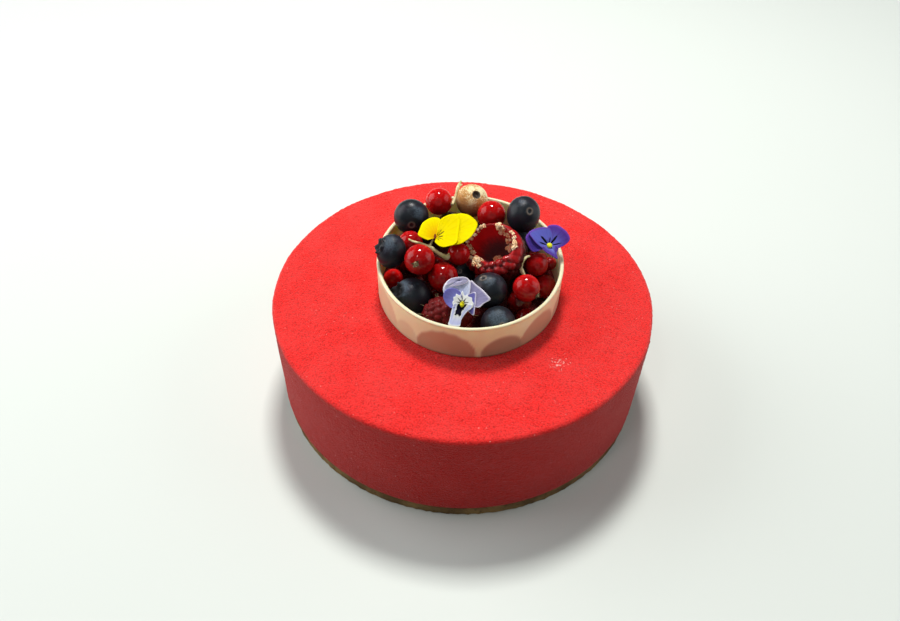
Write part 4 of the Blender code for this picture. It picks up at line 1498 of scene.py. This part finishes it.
def make_lavender_viola(look):
    """Pale viola at the front, its lower petal narrowing to the ring's rim."""
    flower = Flower("viola_lavender", (-2.6, -31.0, 17.6), facing(0.0, 0.12, 1.0))
    right = (
        (72, 6.0), (72, 9.6), (57, 9.2), (36, 9.6), (23, 10.2), (11, 11.0), (3, 8.4), (-10, 6.6), (-12, 4.2),
    )
    upper = (
        (186, 3.9), (163, 6.5), (145, 9.2), (129, 10.3), (115, 10.6), (97, 10.4), (84, 10.3), (73, 9.3),
        (65, 7.1), (54, 4.6),
    )
    flap = (
        (135, 9.4), (127, 10.2), (115, 10.5), (97, 10.3), (84, 10.2), (77, 9.4), (84, 7.8), (100, 7.2),
        (117, 7.5), (130, 8.2),
    )
    side_left = (
        (-150, 3.4), (-158, 4.6), (-178, 6.1), (163, 7.6), (145, 8.2), (130, 7.6), (114, 6.2), (102, 4.7),
        (96, 3.0),
    )
    side_right = ((70, 3.4), (59, 4.4), (43, 6.8), (17, 5.4), (-17, 5.2), (-43, 6.3), (-47, 4.6), (-49, 3.0))
    fringe = (
        (206, 3.0), (190, 3.5), (174, 3.7), (160, 3.5), (145, 4.1), (133, 3.8), (122, 4.4), (108, 3.4),
        (90, 4.9), (76, 3.3), (62, 4.0), (50, 3.7), (34, 4.4), (18, 4.0), (5, 4.4), (-16, 4.3), (-38, 3.6),
    )
    lower = (
        (178, 2.9), (-162, 3.7), (-139, 5.3), (-127, 7.3), (-120, 9.7), (-107, 9.4), (-94, 8.8), (-91, 6.4),
        (-79, 4.6), (-52, 3.6), (-25, 4.0), (-2, 3.9),
    )
    petals = (
        ((right, (2.0, 1.5), -0.1, 0.1, 0.2), 3),
        ((upper, (-0.3, 1.5), 0.2, 0.25, 0.5), 0),
        ((flap, (-1.4, 9.0), 0.7, 0.10, 0.1), 4),
        ((side_right, (0.6, 0.3), 0.5, 0.15, 0.3), 5),
        ((side_left, (-0.6, 0.5), 0.8, 0.30, 0.5), 1),
        ((fringe, (0.0, 0.2), 1.0, 0.15, 0.1), 2),
        ((lower, (-0.1, -0.1), 1.25, 0.15, 0.2), 6),
    )
    edge, white, cream = look.lavender_edge, look.lavender_white, look.lavender_cream
    deep, grey, flap_shade_colour = look.lavender_deep, look.lavender_grey, look.lavender_flap_shade
    green, blotch = (look.eye_green, 0.22), (look.blotch, 0.50)
    materials = [
        petal_material("lavender_petal", look, look.lavender, look.lavender_pale, edge),
        petal_material("lavender_petal_side", look, look.lavender_blue, deep, deep),
        petal_material("lavender_petal_fringe", look, white, white, white, (6.0, 0.85), green),
        petal_material("lavender_petal_folded", look, grey, grey, edge),
        # Painted shade: the flap's darker grey-lilac stands for the shade on the top petal's fold
        petal_material("lavender_petal_flap", look, flap_shade_colour, flap_shade_colour, look.lavender_rim),
        petal_material("lavender_petal_right", look, deep, deep, edge),
        petal_material("lavender_petal_lower", look, cream, look.lavender_tip, white, (4.0, 0.74), blotch),
        throat_material(look.eye_yellow, look.eye_dark),
    ]
    eye = (0.0, -0.2, 0.75, 1.0, 1.75)
    make_viola("lavender_viola", "lavender_petal", flower, petals, materials, eye, look)


# Stage


def turned_pair(first, second, angle):
    """Two directions at a right angle, turned in their plane."""
    c, s = math.cos(angle), math.sin(angle)
    return first * c + second * s, second * c - first * s


def photo_camera(look):
    """Camera at the photograph's angle, placed from its distance to the foot of the coat."""
    aim = Vector((0.0, 0.0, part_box("velvet_cake")[0].z))
    back = Vector((0.0, -math.cos(look.elevation), math.sin(look.elevation)))
    ahead = -back
    right = ahead.cross(POLE).normalized()
    up = right.cross(ahead)
    ahead, right = turned_pair(ahead, right, look.pan)
    ahead, up = turned_pair(ahead, up, look.tilt)
    right, up = turned_pair(right, up, look.roll)
    data = bpy.data.cameras.new("photo_camera")
    data.sensor_width = 36.0
    data.lens = look.lens
    data.clip_start = 0.01
    camera = bpy.data.objects.new("photo_camera", data)
    columns = Matrix((right, up, -ahead)).transposed().to_4x4()
    camera.matrix_world = Matrix.Translation(aim + back * look.distance) @ columns
    bpy.context.scene.collection.objects.link(camera)
    bpy.context.scene.camera = camera


def add_area_light(name, place, size, power, colour):
    """Square soft light that looks at the middle of the cake's top."""
    data = bpy.data.lights.new(name, "AREA")
    data.energy = power
    data.size = size
    data.color = colour
    light = bpy.data.objects.new(name, data)
    light.location = place
    light.rotation_mode = "QUATERNION"
    light.rotation_quaternion = (POLE * CAKE_TOP - Vector(place)).to_track_quat("-Z", "Y")
    bpy.context.scene.collection.objects.link(light)


def floor_material(look):
    """Plain pale floor, very slightly uneven."""
    material, tree = new_material("pale_floor", Roughness=0.7)
    shade = [part * 0.985 for part in look.floor_colour]
    colour = blend(tree, noise_value(tree, 0.2), look.floor_colour, shade)
    tree.links.new(colour, tree.nodes["Principled BSDF"].inputs["Base Color"])
    return material


def make_stage(look):
    """Floor, soft lights, pale surroundings and the camera."""
    bm = bmesh.new()
    bmesh.ops.create_grid(bm, x_segments=2, y_segments=2, size=FLOOR_HALF_WIDTH)
    floor = add_piece(bm, "floor", [floor_material(look)])
    for name, place, size, power, colour in LIGHTS:
        add_area_light(name, place, size, getattr(look, power), colour)
    world = bpy.data.worlds.new("pale_room")
    world.use_nodes = True
    background = world.node_tree.nodes["Background"]
    plug(world.node_tree, look.room_colour, background.inputs["Color"])
    background.inputs["Strength"].default_value = look.room_strength
    bpy.context.scene.world = world
    bpy.context.scene.view_settings.view_transform = "Standard"
    photo_camera(look)


# Settings


def colour_setting(name, description, default):
    """Colour property."""
    return bpy.props.FloatVectorProperty(
        name=name, description=description, default=default, subtype="COLOR", size=3, min=0.0, max=1.0
    )


def length_setting(name, description, default):
    """Length property, in metres."""
    return bpy.props.FloatProperty(
        name=name, description=description, default=default, unit="LENGTH", precision=5
    )


def share_setting(name, description, default):
    """Number property."""
    return bpy.props.FloatProperty(name=name, description=description, default=default)


def angle_setting(name, description, default):
    """Angle property, given here in degrees."""
    return bpy.props.FloatProperty(
        name=name, description=description, default=math.radians(default), unit="ROTATION", precision=4
    )


class CakeLook(bpy.types.PropertyGroup):
    """Coat and base of the cake."""

    coat_colour: colour_setting("Coat", "Red on the tips of the velvet's grains", (0.98, 0.031, 0.028))
    bright_colour: colour_setting("Bright coat", "Lighter red of the soft patches", (0.96, 0.095, 0.088))
    # Painted shade: the wall's deeper red stands for the shade on the coat's side
    wall_shade_colour: colour_setting("Wall", "Deeper red where less spray falls", (0.25, 0.002, 0.002))
    wall_shade_share: share_setting("Wall shade share", "How much deeper the wall is", 0.64)
    # Painted shade: the nearly black top inside the ring stands for the shade under the berries
    gap_shade_colour: colour_setting("Gap shade", "Berry juice on the top inside the ring", (0.055, 0.003, 0.003))
    pit_colour: colour_setting("Pits", "Deeper red between the grains", (0.55, 0.009, 0.008))
    biscuit_colour: colour_setting("Biscuit", "Baked base", (0.27, 0.17, 0.065))
    biscuit_dark: colour_setting("Dark biscuit", "Darker patches of the base", (0.12, 0.072, 0.028))
    biscuit_pore: colour_setting("Pores", "Dark pores of the base", (0.035, 0.020, 0.008))
    # Painted glints: pale specks that stand for small highlights on the grains
    glint_colour: colour_setting("Glints", "Pale specks on the coat", (1.0, 0.55, 0.50))
    grain_size: length_setting("Grain size", "Distance between the velvet's grains", 0.0014)
    grain_height: length_setting("Grain height", "How far the grains stand out", 0.00020)
    grain_step: length_setting("Mesh step", "Distance between the points of the coat's mesh", 0.00073)
    wander: length_setting("Wander", "Slow unevenness of the coat", 0.00025)


class RingLook(bpy.types.PropertyGroup):
    """Chocolate ring."""

    chocolate_colour: colour_setting("Chocolate", "Pale blond chocolate", (0.84, 0.93, 0.60))
    chocolate_deep: colour_setting("Deep chocolate", "Slightly darker patches", (0.81, 0.78, 0.48))
    rim_colour: colour_setting("Rim", "Thin cream rim", (0.76, 0.70, 0.47))
    # Painted shadows of the berries behind the thin wall, tinted red behind red berries and dark behind
    # blueberries
    berry_shadow_colour: colour_setting("Behind, red", "Where a red berry shows through", (0.44, 0.18, 0.105))
    pressed_dark: colour_setting("Behind, dark", "Where a blueberry shows through", (0.26, 0.115, 0.070))
    berry_shadow_share: share_setting("Berry shadow share", "How strongly the berries show through", 0.85)
    wall: length_setting("Wall", "Thickness of the band", 0.0016)


class FruitLook(bpy.types.PropertyGroup):
    """Berries, gold and stalks."""

    blueberry_colour: colour_setting("Blueberry", "Bare skin", (0.0125, 0.0160, 0.0210))
    blueberry_plum: colour_setting("Plum blueberry", "Bare skin, tinged purple", (0.0190, 0.0140, 0.0230))
    bloom_colour: colour_setting("Bloom", "Waxy film", (0.070, 0.100, 0.135))
    crown_colour: colour_setting("Crown", "Dry crown and its pit", (0.010, 0.010, 0.014))
    scar_colour: colour_setting("Scar", "Pale rim of the stalk's scar", (0.19, 0.15, 0.12))
    # Ends of the painted light and shade on the redcurrants' skin
    currant_colour: colour_setting("Redcurrant", "Brightest skin", (0.62, 0.007, 0.008))
    currant_deep: colour_setting("Deep redcurrant", "Darkest skin", (0.10, 0.002, 0.003))
    currant_vein: colour_setting("Veins", "Faint meridian veins", (0.62, 0.10, 0.07))
    calyx_colour: colour_setting("Dry flower", "Tuft at the end of a redcurrant", (0.075, 0.045, 0.020))
    calyx_pale: colour_setting("Pale dry flower", "Folds of the tuft", (0.30, 0.23, 0.12))
    raspberry_colour: colour_setting("Raspberry", "Drupelets", (0.46, 0.012, 0.014))
    # Painted shade on the drupelets far below the rim
    raspberry_low_shade: colour_setting("Low raspberry shade", "Drupelets far below the rim", (0.045, 0.003, 0.004))
    raspberry_seam: colour_setting("Seams", "Between the drupelets", (0.10, 0.003, 0.004))
    gold_colour: colour_setting("Gold", "Brushed gold", (0.62, 0.29, 0.060))
    gold_pale: colour_setting("Pale gold", "Brightest streaks", (1.0, 0.86, 0.50))
    gilded_skin: colour_setting("Gilded skin", "Brown skin without gold", (0.42, 0.16, 0.055))
    gilded_warm: colour_setting("Warm skin", "Brown skin between the streaks", (0.58, 0.27, 0.075))
    leaf_colour: colour_setting("Gold leaf", "Leaf on the raspberry", (1.0, 0.56, 0.25))
    # Painted highlight: the pale gold in patches stands for light on the leaf
    leaf_highlight: colour_setting("Gold leaf highlight", "Folds of the leaf", (1.0, 0.86, 0.58))
    stalk_colour: colour_setting("Stalk", "Dry stalk", (0.82, 0.72, 0.42))
    stalk_green: colour_setting("Green stalk", "Greener patches", (0.50, 0.46, 0.18))
    # The lying raspberry's colours: a dull skin, darkened as painted shade for where it lies
    dull_shaded_colour: colour_setting("Dull raspberry", "Drupelets of the lying raspberry", (0.15, 0.009, 0.010))
    dull_shaded_seam: colour_setting("Dull seams", "Paler seams of the lying raspberry", (0.12, 0.009, 0.009))
    # Painted light on the hollow's upper wall and painted shade on its floor
    hollow_lit_wall: colour_setting("Hollow's wall", "Upper wall of the hollow", (0.60, 0.016, 0.022))
    hollow_shade: colour_setting("Hollow's floor", "Deep in the hollow", (0.085, 0.028, 0.032))
    leaf_size: length_setting("Leaf size", "Half the width of a flake of gold leaf", 0.00105)
    # Painted shade in the creases of the gold leaf
    leaf_crease_shade: colour_setting("Leaf crease shade", "Creases of the gold leaf", (0.36, 0.12, 0.03))
    drupelet: share_setting("Drupelet", "Radius of a drupelet in millimetres", 1.8)


class FlowerLook(bpy.types.PropertyGroup):
    """Petals of the violas."""

    yellow: colour_setting("Yellow", "Main yellow", (0.72, 0.58, 0.0))
    yellow_deep: colour_setting("Deep yellow", "Amber near the throat", (0.66, 0.36, 0.0))
    yellow_olive: colour_setting("Olive yellow", "Tip of the right petal", (0.72, 0.60, 0.0))
    yellow_edge: colour_setting("Yellow edge", "Thin edge", (0.80, 0.68, 0.0))
    yellow_mark: colour_setting("Yellow mark", "Brown mark in the throat", (0.16, 0.035, 0.004))
    violet: colour_setting("Violet", "Left petal", (0.115, 0.125, 0.50))
    violet_light: colour_setting("Light violet", "Near the eye", (0.17, 0.20, 0.62))
    violet_deep: colour_setting("Deep violet", "Petal behind", (0.060, 0.035, 0.26))
    violet_purple: colour_setting("Purple", "Outer part of the right petal", (0.075, 0.035, 0.26))
    violet_edge: colour_setting("Violet edge", "Thin edge", (0.14, 0.05, 0.36))
    lavender: colour_setting("Lavender", "Main pale blue", (0.50, 0.56, 0.84))
    lavender_pale: colour_setting("Pale lavender", "Tip of the top petal", (0.66, 0.71, 0.92))
    lavender_blue: colour_setting("Blue lavender", "Side petal near the throat", (0.26, 0.29, 0.66))
    lavender_deep: colour_setting("Deep lavender", "Side petals", (0.16, 0.155, 0.46))
    lavender_grey: colour_setting("Grey lavender", "Petal behind", (0.30, 0.28, 0.47))
    # Painted shade on the fold at the top of the lavender petal
    lavender_flap_shade: colour_setting("Flap", "Underside of the fold at the top", (0.48, 0.46, 0.66))
    lavender_white: colour_setting("White", "Round the throat", (0.80, 0.82, 0.80))
    lavender_cream: colour_setting("Cream", "Lower petal near the eye", (0.82, 0.82, 0.56))
    lavender_tip: colour_setting("Lilac tip", "Lower petal at the rim", (0.46, 0.50, 0.78))
    lavender_edge: colour_setting("Lavender edge", "Pale margin", (0.78, 0.74, 0.84))
    lavender_rim: colour_setting("Flap edge", "White margin of the fold", (0.86, 0.78, 0.84))
    blotch: colour_setting("Blotch", "Dark base of the lower petal", (0.006, 0.005, 0.016))
    eye_yellow: colour_setting("Eye", "Yellow eye", (0.86, 0.80, 0.01))
    eye_green: colour_setting("Green eye", "Greener part of the eye", (0.62, 0.72, 0.06))
    eye_dark: colour_setting("Dark eye", "Brown part of the eye", (0.30, 0.26, 0.01))
    ray_colour: colour_setting("Rays", "Dark rays from the throat", (0.005, 0.004, 0.010))
    petal_thickness: length_setting("Petal", "Thickness of a petal", 0.00022)


class StageLook(bpy.types.PropertyGroup):
    """Floor, light and camera."""

    floor_colour: colour_setting("Floor", "Plain pale floor", (0.665, 0.71, 0.67))
    key_power: share_setting("Overhead light", "Power of the overhead light in watts", 11.2)
    front_power: share_setting("Front light", "Power of the small second lamp in watts", 0.75)
    window_power: share_setting("Window light", "Power of the wide light in front in watts", 1.4)
    left_power: share_setting("Left light", "Power of the wide light at the left in watts", 13.5)
    right_power: share_setting("Right light", "Power of the wide light at the right in watts", 5.4)
    room_colour: colour_setting("Room colour", "Light from all round", (0.95, 0.97, 1.0))
    room_strength: share_setting("Room", "Strength of the light from all round", 0.07)
    lens: share_setting("Lens", "Focal length in millimetres", 30.09)
    distance: length_setting("Distance", "Camera to the foot of the coat's axis", 0.3517)
    elevation: angle_setting("Elevation", "Camera above the horizon", 47.74)
    pan: angle_setting("Pan", "Turn to the right", -0.92)
    tilt: angle_setting("Tilt", "Turn upwards", 3.53)
    roll: angle_setting("Roll", "Turn about the line of sight", 2.33)


# Operators


class CAKE_OT_groups(bpy.types.Operator):
    """Make the node groups that the materials share"""

    bl_idname = "cake.groups"
    bl_label = "Shared node groups"

    def execute(self, context):
        for maker in GROUP_MAKERS:
            maker()
        return {"FINISHED"}


class CAKE_OT_cake(bpy.types.Operator):
    """Make the velvet coat and the biscuit base"""

    bl_idname = "cake.cake"
    bl_label = "Velvet cake"

    def execute(self, context):
        look = context.scene.cake_look
        make_velvet(look)
        make_biscuit(look)
        return {"FINISHED"}


class CAKE_OT_ring(bpy.types.Operator):
    """Make the chocolate ring"""

    bl_idname = "cake.ring"
    bl_label = "Chocolate ring"

    def execute(self, context):
        make_ring(context.scene.ring_look)
        return {"FINISHED"}


class CAKE_OT_blueberries(bpy.types.Operator):
    """Make the blueberries and the gilded berry"""

    bl_idname = "cake.blueberries"
    bl_label = "Blueberries"

    def execute(self, context):
        look = context.scene.fruit_look
        skin = blueberry_material(look)
        for node, form in (*BLUEBERRIES.items(), *((node, UNDER_FORM) for node in UNDER_BLUEBERRIES)):
            make_blueberry(node + "_berry", node, form, skin, "blueberry_skin")
        gold = gilded_material(look)
        make_blueberry("gilded_berry", "gold_dusted_berry", GILDED_FORM, gold, "gold_dust", GILDED_CROWN)
        return {"FINISHED"}


class CAKE_OT_currants(bpy.types.Operator):
    """Make the redcurrants and their stalks"""

    bl_idname = "cake.currants"
    bl_label = "Redcurrants"

    def execute(self, context):
        look = context.scene.fruit_look
        materials = [currant_material(look), calyx_material(look)]
        # Each redcurrant with its painted light and shade
        for node, bright in CURRANTS.items():
            make_currant(node, bright, materials)
        bark = stalk_material(look, "currant_stalk")
        for node, routes in STALKS.items():
            make_stalk(node, routes, bark)
        return {"FINISHED"}


class CAKE_OT_raspberries(bpy.types.Operator):
    """Make the open raspberry, the lying raspberry and the gold leaf"""

    bl_idname = "cake.raspberries"
    bl_label = "Raspberries"

    def execute(self, context):
        look = context.scene.fruit_look
        fresh = raspberry_material("raspberry_flesh", look, look.raspberry_colour, look.raspberry_seam, 0.5)
        # Darker copy of the raspberry material: dull skin with little coat, and painted shade
        dull = raspberry_material("raspberry_dull", look, look.dull_shaded_colour, look.dull_shaded_seam, 0.02)
        hairs = stalk_material(look, "raspberry_hair")
        leaf = make_open_raspberry(look, [fresh])
        make_lying_raspberry(look, [dull, hairs])
        make_gold_leaf(look, leaf)
        return {"FINISHED"}


class CAKE_OT_violas(bpy.types.Operator):
    """Make the three violas"""

    bl_idname = "cake.violas"
    bl_label = "Violas"

    def execute(self, context):
        look = context.scene.flower_look
        make_yellow_viola(look)
        make_violet_viola(look)
        make_lavender_viola(look)
        return {"FINISHED"}


class CAKE_OT_stage(bpy.types.Operator):
    """Make the floor, the lights and the camera"""

    bl_idname = "cake.stage"
    bl_label = "Stage"

    def execute(self, context):
        make_stage(context.scene.stage_look)
        return {"FINISHED"}


OPERATORS = (
    CAKE_OT_groups,
    CAKE_OT_cake,
    CAKE_OT_ring,
    CAKE_OT_blueberries,
    CAKE_OT_currants,
    CAKE_OT_raspberries,
    CAKE_OT_violas,
    CAKE_OT_stage,
)


class CAKE_PT_panel(bpy.types.Panel):
    """Lists the steps that dress the cake"""

    bl_idname = "CAKE_PT_panel"
    bl_label = "Mousse cake"
    bl_space_type = "VIEW_3D"
    bl_region_type = "UI"
    bl_category = "Mousse cake"

    def draw(self, context):
        column = self.layout.column(align=True)
        for operator in OPERATORS:
            column.operator(operator.bl_idname)


LOOKS = {
    "cake_look": CakeLook,
    "ring_look": RingLook,
    "fruit_look": FruitLook,
    "flower_look": FlowerLook,
    "stage_look": StageLook,
}


def register():
    """Register the classes and the scene's settings."""
    for kind in (*LOOKS.values(), *OPERATORS, CAKE_PT_panel):
        bpy.utils.register_class(kind)
    for name, kind in LOOKS.items():
        setattr(bpy.types.Scene, name, bpy.props.PointerProperty(type=kind))


def unregister():
    """Remove the settings and the classes."""
    for name in LOOKS:
        delattr(bpy.types.Scene, name)
    for kind in reversed((*LOOKS.values(), *OPERATORS, CAKE_PT_panel)):
        bpy.utils.unregister_class(kind)


def main():
    """Dress the cake."""
    register()
    bpy.ops.cake.groups()
    bpy.ops.cake.cake()
    bpy.ops.cake.ring()
    bpy.ops.cake.blueberries()
    bpy.ops.cake.currants()
    bpy.ops.cake.raspberries()
    bpy.ops.cake.violas()
    bpy.ops.cake.stage()


if __name__ == "__main__":
    main()
